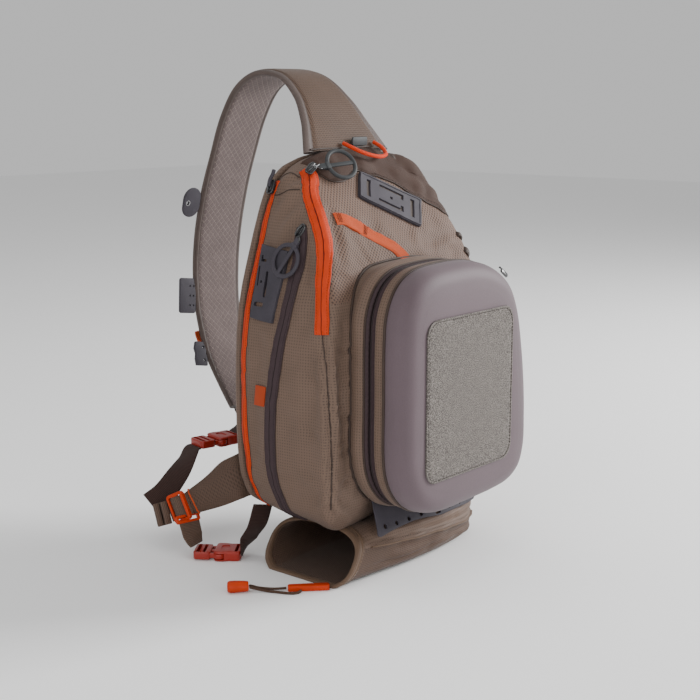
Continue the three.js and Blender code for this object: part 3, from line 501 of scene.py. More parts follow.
BODY_MIDDLE = Vector((0, 0.002, 0.224))
BODY_COLUMNS = 288
BODY_RINGS = 110
BODY_RAYS = 260
TAPE_LIFT = 1.75 * MM
SAG_OVER_SLEEVE = 9 * MM
OUTSIDE = 0.6
body_solid = nodes["body_shell"]
tape_solids = [nodes[name] for name in ("main_zip_tape", "side_zip_tape")]
body_face_count = len(body_solid.data.polygons)
body_tree = tree_of(body_solid, *tape_solids)


def outer_point(tree, direction):
    """The outermost point of some solids in a direction from the body's middle, and its face"""
    place, normal, index, _ = tree.ray_cast(BODY_MIDDLE + direction * OUTSIDE, -direction)
    return place, normal, index


def body_point(direction):
    """The outermost point of the body, with the zip tapes taken off it"""
    place, normal, index = outer_point(body_tree, direction)
    if index >= body_face_count:
        place = place - normal * TAPE_LIFT
    return place


def even(points, count):
    """Points spread evenly along a polyline"""
    reach = distances(points)
    found = []
    k = 0
    for i in range(count):
        wanted = reach[-1] * i / (count - 1)
        while k < len(points) - 2 and reach[k + 1] < wanted:
            k += 1
        share = (wanted - reach[k]) / max(reach[k + 1] - reach[k], 1e-9)
        found.append(points[k].lerp(points[k + 1], min(max(share, 0), 1)))
    return found


def polar(angle, tilt):
    """A direction round the bag's depth, from straight forward to straight back"""
    out = math.sin(tilt)
    return Vector((out * math.cos(angle), -math.cos(tilt), out * math.sin(angle)))


# Creases pressed into the cloth. Columns: from, to (mm), width and depth (mm).
BODY_CREASES = [
    ((-131, -47, 256), (-132, -53, 222), 5, 2.6), ((-132, -53, 226), (-131, -55, 190), 5, 2.8),
    ((-131, -55, 196), (-129, -56, 160), 5, 2.8), ((-129, -56, 166), (-128, -56, 128), 5, 2.6),
    ((-128, -56, 134), (-125, -53, 98), 5, 2.4), ((-125, -53, 104), (-119, -46, 68), 5, 2.2),
    ((-110, -57, 262), (-113, -57, 190), 8, 2.6), ((-113, -57, 196), (-104, -56, 96), 8, 2.6),
    ((-122, -56, 250), (-116, -57, 176), 6, 1.8), ((-124, -56, 150), (-114, -57, 92), 6, 1.8),
    ((-120, -52, 96), (-88, -56, 70), 7, 2.6), ((-124, -50, 78), (-100, -48, 60), 6, 2.4),
    ((-137, -14, 70), (-126, -44, 100), 8, 2.4), ((-139, -34, 130), (-136, -40, 240), 12, 2.2),
    ((-137, -22, 250), (-128, -36, 296), 9, 2.2), ((-130, -24, 292), (-112, -12, 342), 8, 2.2),
    ((-116, 14, 330), (-98, -4, 372), 8, 2.4), ((-120, 30, 352), (-98, 10, 380), 7, 2.2),
    ((-112, 44, 366), (-96, 34, 384), 6, 1.8), ((-96, 34, 394), (-84, 16, 402), 6, 2.2),
    ((-139, 44, 110), (-138, 34, 180), 12, 2.2), ((-139, 30, 190), (-137, 38, 262), 12, 2.0),
    ((44, 12, 418), (92, 2, 384), 9, 3.4), ((64, 16, 412), (112, 12, 368), 8, 2.8),
    ((20, 4, 414), (60, -10, 386), 9, 2.6), ((-30, 12, 420), (6, 0, 404), 7, 2.2),
    ((96, -16, 372), (120, -6, 356), 7, 2.4), ((-60, -28, 352), (-20, -36, 338), 8, 1.6),
    ((-96, -40, 330), (-86, -20, 366), 8, 1.8), ((40, -44, 334), (92, -36, 330), 9, 2.2),
    ((70, -52, 318), (112, -34, 318), 8, 2.2), ((118, -46, 250), (128, -30, 180), 12, 2.0),
    ((-108, -56, 70), (-80, -58, 66), 14, -3.0), ((-96, -57, 236), (-118, -56, 242), 4, 2.4),
    ((-98, -57, 204), (-120, -56, 206), 4, 2.0), ((-97, -57, 168), (-118, -56, 175), 4, 2.4),
    ((-98, -57, 136), (-120, -56, 138), 4, 2.2), ((-96, -57, 108), (-114, -55, 104), 4, 2.0),
    ((-129, -52, 214), (-116, -56, 222), 4, 2.0), ((-128, -53, 176), (-114, -57, 186), 4, 2.2),
    ((-126, -53, 140), (-112, -57, 152), 4, 2.0), ((-136, -30, 214), (-130, -48, 206), 5, 1.8),
    ((-137, -28, 160), (-130, -48, 150), 5, 1.8), ((-136, -26, 118), (-128, -46, 106), 5, 1.8),
    ((-62, -34, 380), (-30, -30, 352), 8, 2.0), ((-20, -26, 370), (20, -40, 344), 10, 1.8),
    ((60, -36, 352), (104, -30, 330), 9, 1.8), ((122, -36, 150), (118, -40, 84), 12, 2.0),
]


def near_line(p, a, b):
    """How far a point is from a line between two others, and at what share of it"""
    ab = b - a
    share = min(max((p - a).dot(ab) / ab.length_squared, 0), 1)
    return (p - a.lerp(b, share)).length, share


PUCKER_RISE = 1.5 * MM
PUCKER_DISTANCE = 14 * MM
PUCKER_REACH = 11 * MM


def press_creases(piece, creases, soft, fine, sewn):
    """Soft waves all over a piece, its own creases, and puckers beside the sewn lines"""
    mesh = piece.data
    sewn_tree = KDTree(len(sewn))
    for i, place in enumerate(sewn):
        sewn_tree.insert(place, i)
    sewn_tree.balance()
    normals = [v.normal.copy() for v in mesh.vertices]
    lines = [(Vector(a) * MM, Vector(b) * MM, w * MM, d * MM) for a, b, w, d in creases]
    for vertex, normal in zip(mesh.vertices, normals):
        p = vertex.co.copy()
        wave = noise.noise(Vector((p.x * 16, p.y * 16, p.z * 7))) * soft
        wave += noise.noise(Vector((p.x * 45 + 9, p.y * 45, p.z * 24))) * fine
        for a, b, width, depth in lines:
            distance, share = near_line(p, a, b)
            fade = math.sin(math.pi * min(max(share, 0.12), 0.88)) ** 0.5
            wave -= depth * fade * math.exp(-(distance / width) ** 2 * 2)
            wave += 0.5 * depth * fade * math.exp(-((distance - 1.5 * width) / width) ** 2 * 2)
        near, _, distance = sewn_tree.find(p)
        ripple = noise.noise(Vector((near.x * 90, near.y * 90, near.z * 150)))
        wave += PUCKER_RISE * ripple * math.exp(-((distance - PUCKER_DISTANCE) / PUCKER_REACH) ** 2)
        vertex.co = p + normal * wave


def body_mesh():
    """The body's cloth: rings round its depth, evenly spread over the solid and smoothed"""
    angles = 720
    middle_ring = [body_point(polar(2 * math.pi * k / angles, math.pi / 2)) for k in range(angles + 1)]
    outline = even(middle_ring, BODY_COLUMNS + 1)[:-1]
    profiles = []
    for p in outline:
        angle = math.atan2(p.z - BODY_MIDDLE.z, p.x - BODY_MIDDLE.x)
        tilts = [math.radians(0.6 + 178.8 * k / BODY_RAYS) for k in range(BODY_RAYS + 1)]
        profiles.append(even([body_point(polar(angle, tilt)) for tilt in tilts], BODY_RINGS))
    rings = [[profile[k] for profile in profiles] for k in range(BODY_RINGS)]
    piece = loft("bag_body", rings, [FRONT_CLOTH, SIDE_CLOTH])
    apply_modifier(piece, "SMOOTH", factor=0.5, iterations=14)
    for vertex in piece.data.vertices:
        p = vertex.co
        sag = math.exp(-((p.x + 0.1) / 0.036) ** 2 - ((p.y + 0.046) / 0.026) ** 2)
        vertex.co.z -= SAG_OVER_SLEEVE * sag * min(max((0.1 - p.z) / 0.04, 0), 1)
    return piece


def map_cloth(piece):
    """Lay the cloth's map flat over the front and back, and round the sides, in real distances"""
    mesh = piece.data
    layer = mesh.uv_layers.new(name="cloth")
    for polygon in mesh.polygons:
        n = polygon.normal
        for loop in polygon.loop_indices:
            p = mesh.vertices[mesh.loops[loop].vertex_index].co
            if abs(n.y) > 0.62:
                layer.data[loop].uv = (p.x, p.z)
            elif abs(n.x) > abs(n.z):
                layer.data[loop].uv = (p.y, p.z)
            else:
                layer.data[loop].uv = (p.x, p.y)


def dress_body(piece):
    """The coarse pin-dot cloth is only on the upper front; the rest is the fine one"""
    for polygon in piece.data.polygons:
        n = polygon.normal
        upper = polygon.center.z > 0.285 and n.y < -0.35 and n.x > -0.75
        polygon.material_index = 0 if upper else 1


body = body_mesh()
sewn_lines = [v.co.copy() for name in ("main_zip_tape", "side_zip_tape", "rear_zip_tape")
              for v in nodes[name].data.vertices]
press_creases(body, BODY_CREASES, 2.2 * MM, 0.9 * MM, sewn_lines)
map_cloth(body)
dress_body(body)
take(body, "body_cloth", ["body_shell"], 60)
skin = tree_of(body)


def on_skin(target):
    """The place on the cloth in line with a target, and the way out of the cloth there"""
    direction = (target - BODY_MIDDLE).normalized()
    place, normal, _ = outer_point(skin, direction)
    return place, normal


def front_skin(x, z):
    """The place on the cloth straight behind a spot in the front view, given in metres"""
    return from_front(skin, x, z, -0.4) or on_skin(Vector((x, -0.02, z)))[0]


def drape(rows, steps):
    """A smooth path on the cloth under a few places given in millimetres"""
    return [on_skin(p)[0] for p in smooth_path(metres(rows), steps)]


def soft_normals(grid):
    """Outward directions of a grid of places on the cloth, smoothed over its neighbours"""
    rows = len(grid)
    columns = len(grid[0])
    found = []
    for r in range(rows):
        line = []
        for c in range(columns):
            up = grid[min(r + 1, rows - 1)][c] - grid[max(r - 1, 0)][c]
            side = grid[r][min(c + 1, columns - 1)] - grid[r][max(c - 1, 0)]
            n = up.cross(side)
            n = n.normalized() if n.length > 1e-12 else FORWARD
            if n.dot(grid[r][c] - BODY_MIDDLE) < 0:
                n = -n
            line.append(n)
        found.append(line)
    return found


def slab(name, grid, height, materials, base=-0.4 * MM, face_material=None, normals=None):
    """A closed slab over a grid of places: height(r, c) above them, and a flat base under them"""
    rows = len(grid)
    columns = len(grid[0])
    normals = normals or soft_normals(grid)
    rings = []
    along = [[0.0] * columns for _ in range(rows)]
    across = [[0.0] * columns for _ in range(rows)]
    for r in range(rows):
        for c in range(columns):
            if r:
                along[r][c] = along[r - 1][c] + (grid[r][c] - grid[r - 1][c]).length
            if c:
                across[r][c] = across[r][c - 1] + (grid[r][c] - grid[r][c - 1]).length
    for r in range(rows):
        top = [grid[r][c] + normals[r][c] * height(r, c) for c in range(columns)]
        under = [grid[r][c] + normals[r][c] * base for c in reversed(range(columns))]
        rings.append(top + under)

    def uv(r, i):
        i = i % (2 * columns)
        c = i if i < columns else 2 * columns - 1 - i
        r = min(r, rows - 1)
        return across[r][c], along[r][c]

    return loft(name, rings, materials, uv=uv, face_material=face_material)


def strip_grid(path, width, columns):
    """Rows across a strip of even width that follows a path over the cloth"""
    grid = []
    for i, place in enumerate(path):
        _, normal = on_skin(place)
        side = heading(path, i).cross(normal).normalized()
        grid.append([on_skin(place + side * width * (c / (columns - 1) - 0.5))[0] for c in range(columns)])
    return grid


def add_zip(name, path, width, slot, replaces, tape_material, groove_material, thread, raised=1.7):
    """A coated zip: flat tape with a fine line down its middle, bound edges and two rows of stitches.
    The section is given by how far from the middle a place is, as a share of half the width."""
    columns = 33
    stitch_column = 5
    bound_from = 0.93
    path = even(path, max(24, int(distances(path)[-1] / (2.5 * MM))))
    grid = strip_grid(path, width, columns)
    normals = soft_normals(grid)

    def section(_, c):
        x = abs(2 * c / (columns - 1) - 1)
        if x < 0.05:
            return (raised - 0.6) * MM
        if x < 0.16:
            return raised * MM
        if x > bound_from:
            return 0.5 * MM
        if 0.66 < x < 0.76:
            return (raised - 0.55) * MM
        return (raised - 0.2) * MM

    def material_at(_, i):
        x = abs(2 * (i + 0.5) / (columns - 1) - 1)
        if i >= columns - 1 or x > bound_from:
            return 2
        return 1 if x < 0.06 else 0

    piece = slab(name, grid, section, [tape_material, groove_material, BINDING], face_material=material_at,
                 normals=normals)
    take(piece, slot, replaces, 50)
    for side, c in (("left", stitch_column), ("right", columns - 1 - stitch_column)):
        line = [row[c] + n[c] * (raised - 0.45) * MM for row, n in zip(grid, normals)]
        stitches(f"{name}_{side}_thread", line, [n[c] for n in normals], thread, slot, 1.8, 0.9, 0.45)


def slices(node, low, high, count):
    """The middle of a solid at evenly spaced heights"""
    mesh = nodes[node].data
    edges = [(mesh.vertices[e.vertices[0]].co, mesh.vertices[e.vertices[1]].co) for e in mesh.edges]
    path = []
    for k in range(count):
        z = low + (high - low) * k / (count - 1)
        cut = [a.lerp(b, (z - a.z) / (b.z - a.z)) for a, b in edges if (a.z - z) * (b.z - z) < 0]
        if cut:
            low_corner = Vector((min(p.x for p in cut), min(p.y for p in cut), z))
            high_corner = Vector((max(p.x for p in cut), max(p.y for p in cut), z))
            path.append((low_corner + high_corner) / 2)
    return path


def zip_path(node, count):
    """The middle line of a zip tape, from just inside its ends"""
    inset = 1.5 * MM
    low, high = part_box(node)
    return softened(slices(node, low.z + inset, high.z - inset, count))


# Seams, piping and stitches

def piping(name, path, radius, material, slot, flatness=0.8):
    piece = tube(name, path, radius, material, 8, flatness)
    return take(piece, slot, (), 60)


STITCH_FACES = (
    (0, 1, 2), (0, 2, 3), (0, 3, 1), (1, 4, 5, 2), (2, 5, 6, 3), (3, 6, 4, 1),
    (4, 7, 5), (5, 7, 6), (6, 7, 4),
)


def stitches(name, path, normals, material, slot, length=2.6, gap=1.4, width=0.7):
    """A row of stitches along a path, each a small three-sided bar standing out of the cloth"""
    count = max(2, int(distances(path)[-1] / ((length + gap) * MM)))
    spots = even(path, 2 * count + 1)
    points = []
    faces = []
    for k in range(count):
        a = spots[2 * k]
        b = spots[2 * k + 1]
        share = (2 * k + 0.5) / (2 * count)
        n = normals[min(int(share * len(normals)), len(normals) - 1)]
        along = (b - a).normalized()
        middle = a.lerp(b, 0.5)
        a = middle - along * length * MM / 2
        b = middle + along * length * MM / 2
        side = along.cross(n).normalized() * width * MM / 2
        rise = n * width * MM * 0.55
        start = len(points)
        points.append(a - n * 0.3 * MM)
        for spot in (a.lerp(b, 0.2), a.lerp(b, 0.8)):
            points += [spot + side, spot + rise, spot - side]
        points.append(b - n * 0.3 * MM)
        faces += [tuple(start + i for i in face) for face in STITCH_FACES]
    return take(add_mesh(name, points, faces, [material]), slot, (), 0)


MAIN_ZIP_LOWER_HALF = [(-114.2, -34.7, 331.2), (-120.4, -38.6, 315), (-124.2, -40.7, 302),
                       (-128.2, -43.8, 287), (-131.5, -46.5, 272), (-133.6, -48, 256.6)]
main_line = [p for p in zip_path("main_zip_tape", 30) if p.z > 0.338]
main_line = sorted(main_line, key=lambda p: -p.z) + metres(MAIN_ZIP_LOWER_HALF)
add_zip("main_zip", main_line, 16.6 * MM, "orange_tape", ["main_zip_tape"],
        ORANGE_TAPE, ORANGE_GROOVE, ORANGE_GROOVE)
add_zip("rear_zip", zip_path("rear_zip_tape", 50), 10.5 * MM, "orange_tape", ["rear_zip_tape"],
        ORANGE_TAPE, ORANGE_GROOVE, ORANGE_GROOVE, 1.4)
add_zip("side_pocket_zip", zip_path("side_zip_tape", 50), 15 * MM, "dark_tape", ["side_zip_tape"],
        DARK_TAPE, GROOVE, GROOVE)

# The front edge seam is a real ridge; its dark binding also paints the shade along the crease it lies in.
for name, rows in (
    ("front_edge_seam_and_shade", [(-126.6, -46, 284), (-131.4, -47.6, 253), (-132, -53.1, 222.6),
                         (-131.3, -54.8, 193.3), (-129.4, -55.6, 163.3), (-128.1, -55.7, 133),
                         (-125.8, -53.5, 101.7), (-121.2, -48.1, 73.9)]),
    ("upper_gusset_seam", [(-98, 50, 401), (-85.2, 41.4, 402.3), (-86.3, 21.5, 402.1)]),
    ("lower_gusset_seam", [(-101, 46, 388), (-97.5, 39.8, 382.1), (-94.9, 12.4, 389.1)]),
):
    piping(name, drape(rows, 8), 0.9 * MM, BINDING, "body_cloth", 0.7)


# The yoke: a smooth panel over the top and the right shoulder. Rows are in millimetres.

YOKE_LINE = [(-68.9, 9.7, 400.8), (-60, 4.6, 395.4), (-51, 2.6, 394), (-37, 3, 395.6), (-24, 6, 400.5),
             (-11.7, 8.5, 405), (-4.1, 6.7, 403.6), (17.5, 1.5, 396.1), (41.7, -6.2, 385.8),
             (65.1, -15.2, 374.4), (87.1, -21.6, 363.8), (97.2, -25.1, 356.8)]
YOKE_LINE_END = [(119, -16, 350), (134, 12, 349), (136, 29, 349)]
YOKE_TOP = [(-72, 31, 410), (-30, 31, 424), (0, 31, 426), (40, 31, 424), (75, 31, 412), (105, 31, 388),
            (124, 31, 362), (135, 31, 349)]
YOKE_COLUMNS = 150
YOKE_GRID_ROWS = 60


def yoke_grid():
    """Rows from the yoke's lower line to its top, each laid on the cloth"""
    lower = [on_skin(place)[0] for place in metres(YOKE_LINE)] + metres(YOKE_LINE_END)
    lower = even(smooth_path(lower, 12), YOKE_COLUMNS)
    upper = even(smooth_path(metres(YOKE_TOP), 12), YOKE_COLUMNS)
    grid = []
    for r in range(YOKE_GRID_ROWS):
        share = r / (YOKE_GRID_ROWS - 1)
        line = []
        for low, high in zip(lower, upper):
            a = (low - BODY_MIDDLE).normalized()
            b = (high - BODY_MIDDLE).normalized()
            line.append(on_skin(BODY_MIDDLE + a.lerp(b, share) * 0.3)[0])
        grid.append(line)
    return grid


def add_yoke():
    grid = yoke_grid()

    def height(r, c):
        p = grid[r][c]
        rim = min(r, YOKE_GRID_ROWS - 1 - r, c, YOKE_COLUMNS - 1 - c)
        lift = 1.3 * MM * min(rim / 2, 1) + 0.2 * MM
        if r in (3, 4):
            lift -= 0.5 * MM
        wave = noise.noise(Vector((p.x * 20, p.y * 26, p.z * 20 + 3)))
        wave += 0.45 * noise.noise(Vector((p.x * 60, p.y * 34, p.z * 60 + 7)))
        bulge = math.exp(-((p.x - 0.098) / 0.03) ** 2 - ((p.y - 0.012) / 0.03) ** 2)
        lift += 5.5 * MM * bulge * min(rim / 10, 1)
        return lift + 4.2 * MM * max(wave, -0.3) * min(rim / 8, 1)

    piece = slab("yoke_panel", grid, height, [YOKE_CLOTH])
    take(piece, "yoke_cloth", ["yoke"], 60)
    columns = range(0, YOKE_COLUMNS, 2)
    edge = [grid[0][c] for c in columns]
    normals = [on_skin(p)[1] for p in edge]
    piping("yoke_seam", [p + n * 0.7 * MM for p, n in zip(edge, normals)], 1.0 * MM, BINDING, "yoke_cloth")
    inner = [grid[4][c] + n * 1.1 * MM for c, n in zip(columns, normals)]
    stitches("yoke_stitches", inner, normals, DARK_THREAD, "yoke_cloth")


add_yoke()


# The padded back panel

PAD_MIDDLE = Vector((0, 0.067, 0.224))
PAD_COLUMNS = 240
PAD_SIDE_SHARES = [0.02, 0.1, 0.2, 0.3, 0.4, 0.5, 0.6, 0.7, 0.8, 0.86, 0.91, 0.945, 0.97, 0.985, 0.995]
PAD_FACE_SHARES = [1 - 0.005 * 1.35 ** k for k in range(10)] + [0.86 - 0.04 * k for k in range(22)]
PAD_CLOTH_RINGS = 23


def pad_rim(pad):
    """The pad's outline as seen from the front, found by halving along rays from its middle"""
    rim = []
    for k in range(PAD_COLUMNS):
        angle = 2 * math.pi * k / PAD_COLUMNS
        way = Vector((math.cos(angle), 0, math.sin(angle)))
        near, far = 0.05, 0.3
        for _ in range(14):
            reach = (near + far) / 2
            spot = PAD_MIDDLE + way * reach
            if from_front(pad, spot.x, spot.z, -0.1):
                near = reach
            else:
                far = reach
        spot = PAD_MIDDLE + way * (near - 1.5 * MM)
        depth = (from_front(pad, spot.x, spot.z, -0.1).y + from_back(pad, spot.x, spot.z).y) / 2
        rim.append(Vector((PAD_MIDDLE.x + way.x * near, depth, PAD_MIDDLE.z + way.z * near)))
    return rim


def pad_groove(p):
    """1 in the middle of the grooves pressed into the pad's face, falling to 0 beside them"""
    upright = [math.exp(-((p.x - x) / 0.004) ** 2) for x in (-0.045, 0.045)]
    slanted = [math.exp(-((p.z - z + 0.25 * abs(p.x)) / 0.004) ** 2) for z in (0.12, 0.19, 0.26, 0.33)]
    return max(upright + slanted)


def add_back_pad():
    pad = tree_of(nodes["back_pad"])
    rim = pad_rim(pad)
    rings = []
    for share in PAD_SIDE_SHARES:
        ring = []
        for place in rim:
            p = PAD_MIDDLE.lerp(place, share)
            hit = from_front(pad, p.x, p.z, -0.1)
            ring.append(Vector((p.x, hit.y if hit else place.y - 0.003, p.z)))
        rings.append(ring)
    rings.append(rim)
    for share in PAD_FACE_SHARES:
        ring = []
        for place in rim:
            p = PAD_MIDDLE.lerp(place, share)
            hit = from_back(pad, p.x, p.z)
            y = hit.y if hit else place.y + 0.003
            ring.append(Vector((p.x, y - 2.6 * MM * pad_groove(p) * min((1 - share) / 0.1, 1), p.z)))
        rings.append(ring)
    piece = loft("back_panel", rings, [PAD_MESH, SIDE_CLOTH],
                 face_material=lambda r, i: 1 if r < PAD_CLOTH_RINGS else 0)
    apply_modifier(piece, "SMOOTH", factor=0.5, iterations=4)
    map_cloth(piece)
    take(piece, "pad_mesh", ["back_pad"], 60)


add_back_pad()


# The shoulder strap. Columns: share of the reach, share of the rise, share of the width, sideways (mm).
STRAP_ROWS = [
    (0, 0, 1.9, 0), (0.08, 0.36, 1.48, 0), (0.17, 0.68, 1.2, 0), (0.31, 0.95, 1.03, 0), (0.49, 1, 1, 0),
    (0.64, 0.82, 1, 0), (0.755, 0.42, 1, 0), (0.84, -0.08, 1, 0), (0.92, -0.64, 1.02, 0),
    (0.975, -1.2, 1.03, 0), (1, -1.76, 1.02, 0), (0.98, -2.36, 0.97, -2), (0.92, -2.92, 0.84, -5),
    (0.83, -3.38, 0.6, -9), (0.75, -3.68, 0.4, -14),
]
STRAP_REACH = 199
STRAP_RISE = 80
STRAP_HALF_WIDTH = 35.5
STRAP_UPPER_HALF = 4.96 * MM
STRAP_LOWER_HALF = 4.0 * MM
STRAP_SIDES = 64


def strap_path():
    """The strap's middle line and half its width at each point"""
    steps = 16
    rows = [(x, 32 + back * STRAP_REACH, 423.35 + up * STRAP_RISE) for back, up, _, x in STRAP_ROWS]
    path = smooth_path(metres(rows), steps)
    widths = in_between([row[2] for row in STRAP_ROWS], steps)
    for _ in range(3):
        widths = softened(widths)
    return path, [w * STRAP_HALF_WIDTH * MM for w in widths]


def strap_axes(path, i):
    """The directions across the strap and out of its upper side"""
    along = heading(path, i)
    across = (Vector((1, 0, 0)) - along * along.x).normalized()
    return across, -along.cross(across)


def strap_section():
    """Across and outward shares of the strap's section, with its bound edges. The third is the material."""
    found = []
    for k in range(STRAP_SIDES):
        angle = 2 * math.pi * k / STRAP_SIDES
        across = squared(math.cos(angle), 0.45)
        out = squared(math.sin(angle), 0.75)
        edge = abs(across)
        if 0.8 < edge < 0.87:
            out *= 0.72
        face = 2 if edge >= 0.84 else (0 if out > 0 else 1)
        found.append((across, out, face))
    return found


def add_strap():
    path, widths = strap_path()
    section = strap_section()
    rings = []
    for i, place in enumerate(path):
        across, out = strap_axes(path, i)
        ring = []
        for u, v, _ in section:
            thick = STRAP_UPPER_HALF if v > 0 else STRAP_LOWER_HALF
            p = place + across * u * widths[i] + out * v * thick
            wave = noise.noise(Vector((p.x * 30, p.y * 18, p.z * 18))) * 0.5 * MM
            ring.append(p + out * wave * (1 if v > 0 else -1) * min(abs(v) * 2, 1))
        rings.append(ring)
    reach = distances(path)

    def uv(r, i):
        r = min(r, len(path) - 1)
        return section[i % STRAP_SIDES][0] * widths[r], reach[r]

    def material_at(_, i):
        pair = (section[i % STRAP_SIDES][2], section[(i + 1) % STRAP_SIDES][2])
        return 2 if 2 in pair else pair[0]

    piece = loft("padded_strap", rings, [STRAP_CLOTH, STRAP_MESH, STRAP_EDGE], uv, material_at)
    take(piece, "strap_cloth", ["shoulder_strap"], 60)
    across, out = strap_axes(path, 1)
    line = []
    for u in range(-18, 19):
        lift = 4.9 - 1.5 * abs(u / 18) ** 6
        line.append(path[1] + across * widths[1] * u / 20 + out * lift * MM)
    piping("strap_foot_seam", line, 1.3 * MM, BINDING, "strap_cloth")


add_strap()


# The moulded front pocket. Columns: share of the width from its middle, share of the height.
POCKET_SHARES = [
    (0.02, 0), (-0.22, 0.004), (-0.355, 0.045), (-0.44, 0.115), (-0.484, 0.19), (-0.5, 0.27), (-0.5, 0.5),
    (-0.498, 0.72), (-0.484, 0.83), (-0.425, 0.925), (-0.325, 0.98), (-0.14, 1), (0.08, 0.993),
    (0.23, 0.955), (0.345, 0.885), (0.415, 0.775), (0.46, 0.615), (0.49, 0.44), (0.5, 0.3),
    (0.497, 0.17), (0.455, 0.075), (0.37, 0.024), (0.2, 0.004),
]
POCKET_MIDDLE = Vector((8, 0, 193.5)) * MM
POCKET_WIDTH = 220
POCKET_HEIGHT = 249
POCKET_FLOOR = 69
POCKET_COLUMNS = 256


def pocket_outline():
    """Places round the pocket's outline and the way out of it at each"""
    rows = [(8 + across * POCKET_WIDTH, 0, POCKET_FLOOR + up * POCKET_HEIGHT) for across, up in POCKET_SHARES]
    loop = rows[-3:] + rows + rows[:3]
    path = smooth_path(metres(loop), 10)[30:-30]
    path = even(path + [path[0]], POCKET_COLUMNS + 1)[:-1]
    found = []
    for i, place in enumerate(path):
        along = (path[(i + 1) % POCKET_COLUMNS] - path[i - 1]).normalized()
        normal = along.cross(BACKWARD)
        if normal.dot(place - POCKET_MIDDLE) < 0:
            normal = -normal
        found.append((place, normal))
    return found


POCKET = pocket_outline()


def pocket_ring(inset, y, reach=1.0, wave=0.0):
    """The pocket's outline moved inwards, at a depth, drawn to its middle, with a wave (mm)"""
    ring = []
    for place, normal in POCKET:
        p = place - normal * inset * MM
        p = POCKET_MIDDLE.lerp(p, reach)
        swell = wave * MM * noise.noise(Vector((place.x * 26, y * 0.05, place.z * 26)))
        ring.append(Vector((p.x, y * MM, p.z)) + normal * swell)
    return ring


def pocket_piece(name, rows, material, slot, replaces):
    rings = [pocket_ring(*row) for row in rows]
    around = distances([place for place, _ in POCKET + POCKET[:1]])
    out = distances([Vector((row[0], row[1], 0)) * MM for row in rows])
    piece = loft(name, rings, [material], uv=lambda r, i: (around[i], out[min(r, len(rows) - 1)]))
    take(piece, slot, replaces, 50)


pocket_piece("pocket_side", [
    (6, -40), (0.8, -40), (0.8, -56), (0.2, -58.5, 1, 0.6), (-1.4, -61, 1, 1.4), (-2.4, -64, 1, 2.0),
    (-2.5, -67, 1, 2.2), (-1.9, -70, 1, 1.6), (-0.7, -73, 1, 0.8), (0.3, -74.6, 1, 0.3),
    (1.5, -75.2), (6, -75.2),
], SIDE_CLOTH, "body_cloth", ["pocket_gusset"])


def add_pocket_foot():
    """The seam that joins the pocket's side to the body, a dark tube that also paints the shadow line at the
    pocket's foot
    """
    ring = []
    for place, normal in POCKET:
        p = place + normal * 0.4 * MM
        ring.append(front_skin(p.x, p.z) + FORWARD * 0.5 * MM)
    # Dark binding: partly the real seam, partly painted shadow along the pocket's foot.
    closed_tube("pocket_foot_seam_and_shadow", ring, 1.3 * MM, BINDING, "body_cloth")


def add_pocket_zip():
    """The tape round the pocket's front, with its teeth as a fine ripple in the middle rows"""
    profile = [(6, -75.3), (1.0, -75.3), (0.7, -76), (1.2, -77), (1.4, -79.6), (1.0, -80.0), (0.9, -80.9),
               (2.2, -81.2), (2.2, -82.0), (0.9, -82.3), (1.0, -83.2), (1.4, -83.6), (1.2, -86.6),
               (0.7, -87.4), (1.0, -87.9), (6, -87.9)]
    rings = []
    for inset, y in profile:
        ring = pocket_ring(inset, y)
        if inset == 0.9 or (inset == 1.0 and -84 < y < -79):
            for i, (_, normal) in enumerate(POCKET):
                ring[i] += normal * (0.3 * MM if i % 2 else -0.2 * MM)
        rings.append(ring)
    piece = loft("pocket_zip_tape", rings, [DARK_TAPE, GROOVE],
                 uv=lambda r, i: (i * 3 * MM, min(r, 15) * 0.9 * MM),
                 face_material=lambda r, i: 1 if 4 <= r <= 10 else 0)
    take(piece, "dark_tape", ["pocket_zip"], 40)


add_pocket_zip()

pocket_piece("pocket_front_band", [
    (6, -88.2), (0.4, -88.2), (-0.4, -89), (-0.7, -91, 1, 0.4), (-0.8, -94, 1, 0.6), (-0.7, -97, 1, 0.4),
    (-0.2, -99.2), (0.8, -99.9), (6, -99.9),
], SIDE_CLOTH, "body_cloth", ["pocket_band"])


def closed_tube(name, ring, radius, material, slot):
    """A tube along a closed ring in the pocket's outline"""
    sides = 8
    rings = []
    for place, (_, normal) in zip(ring, POCKET):
        rings.append([
            place + normal * radius * math.cos(2 * math.pi * k / sides)
            + BACKWARD * radius * math.sin(2 * math.pi * k / sides)
            for k in range(sides)
        ])
    piece = loft(name, rings, [material], uv=lambda r, i: (i * 1.2 * MM, r * 3 * MM), closed=True)
    take(piece, slot, (), 60)


add_pocket_foot()
closed_tube("shell_piping", pocket_ring(-0.6, -100.2), 1.5 * MM, BINDING, "dark_tape")
closed_tube("side_piping", pocket_ring(0.2, -75.2), 1.1 * MM, BINDING, "dark_tape")

SHELL_PROFILE = [(0, 0), (-0.9, 0.12), (-1, 0.25), (0.5, 0.52), (5, 0.76), (13, 0.92), (26, 0.985)]
SHELL_FOOT = -100.35
SHELL_DEPTH = 28


def shell_rows():
    """The moulded shell's profile: from its foot over the shoulder to the middle of its face"""
    path = smooth_path([(inset, SHELL_FOOT - share * SHELL_DEPTH, 0) for inset, share in SHELL_PROFILE], 6)
    rows = [(6, SHELL_FOOT)] + [(p.x, p.y) for p in path]
    last = path[-1].y
    rows += [(26, last - 0.42 * k / 6, 1 - 0.15 * k) for k in range(1, 6)]
    return rows


pocket_piece("pocket_front_shell", shell_rows(), FOAM, "pocket_foam", ["pocket_shell"])
shell_tree = tree_of(bpy.data.objects["pocket_front_shell"])


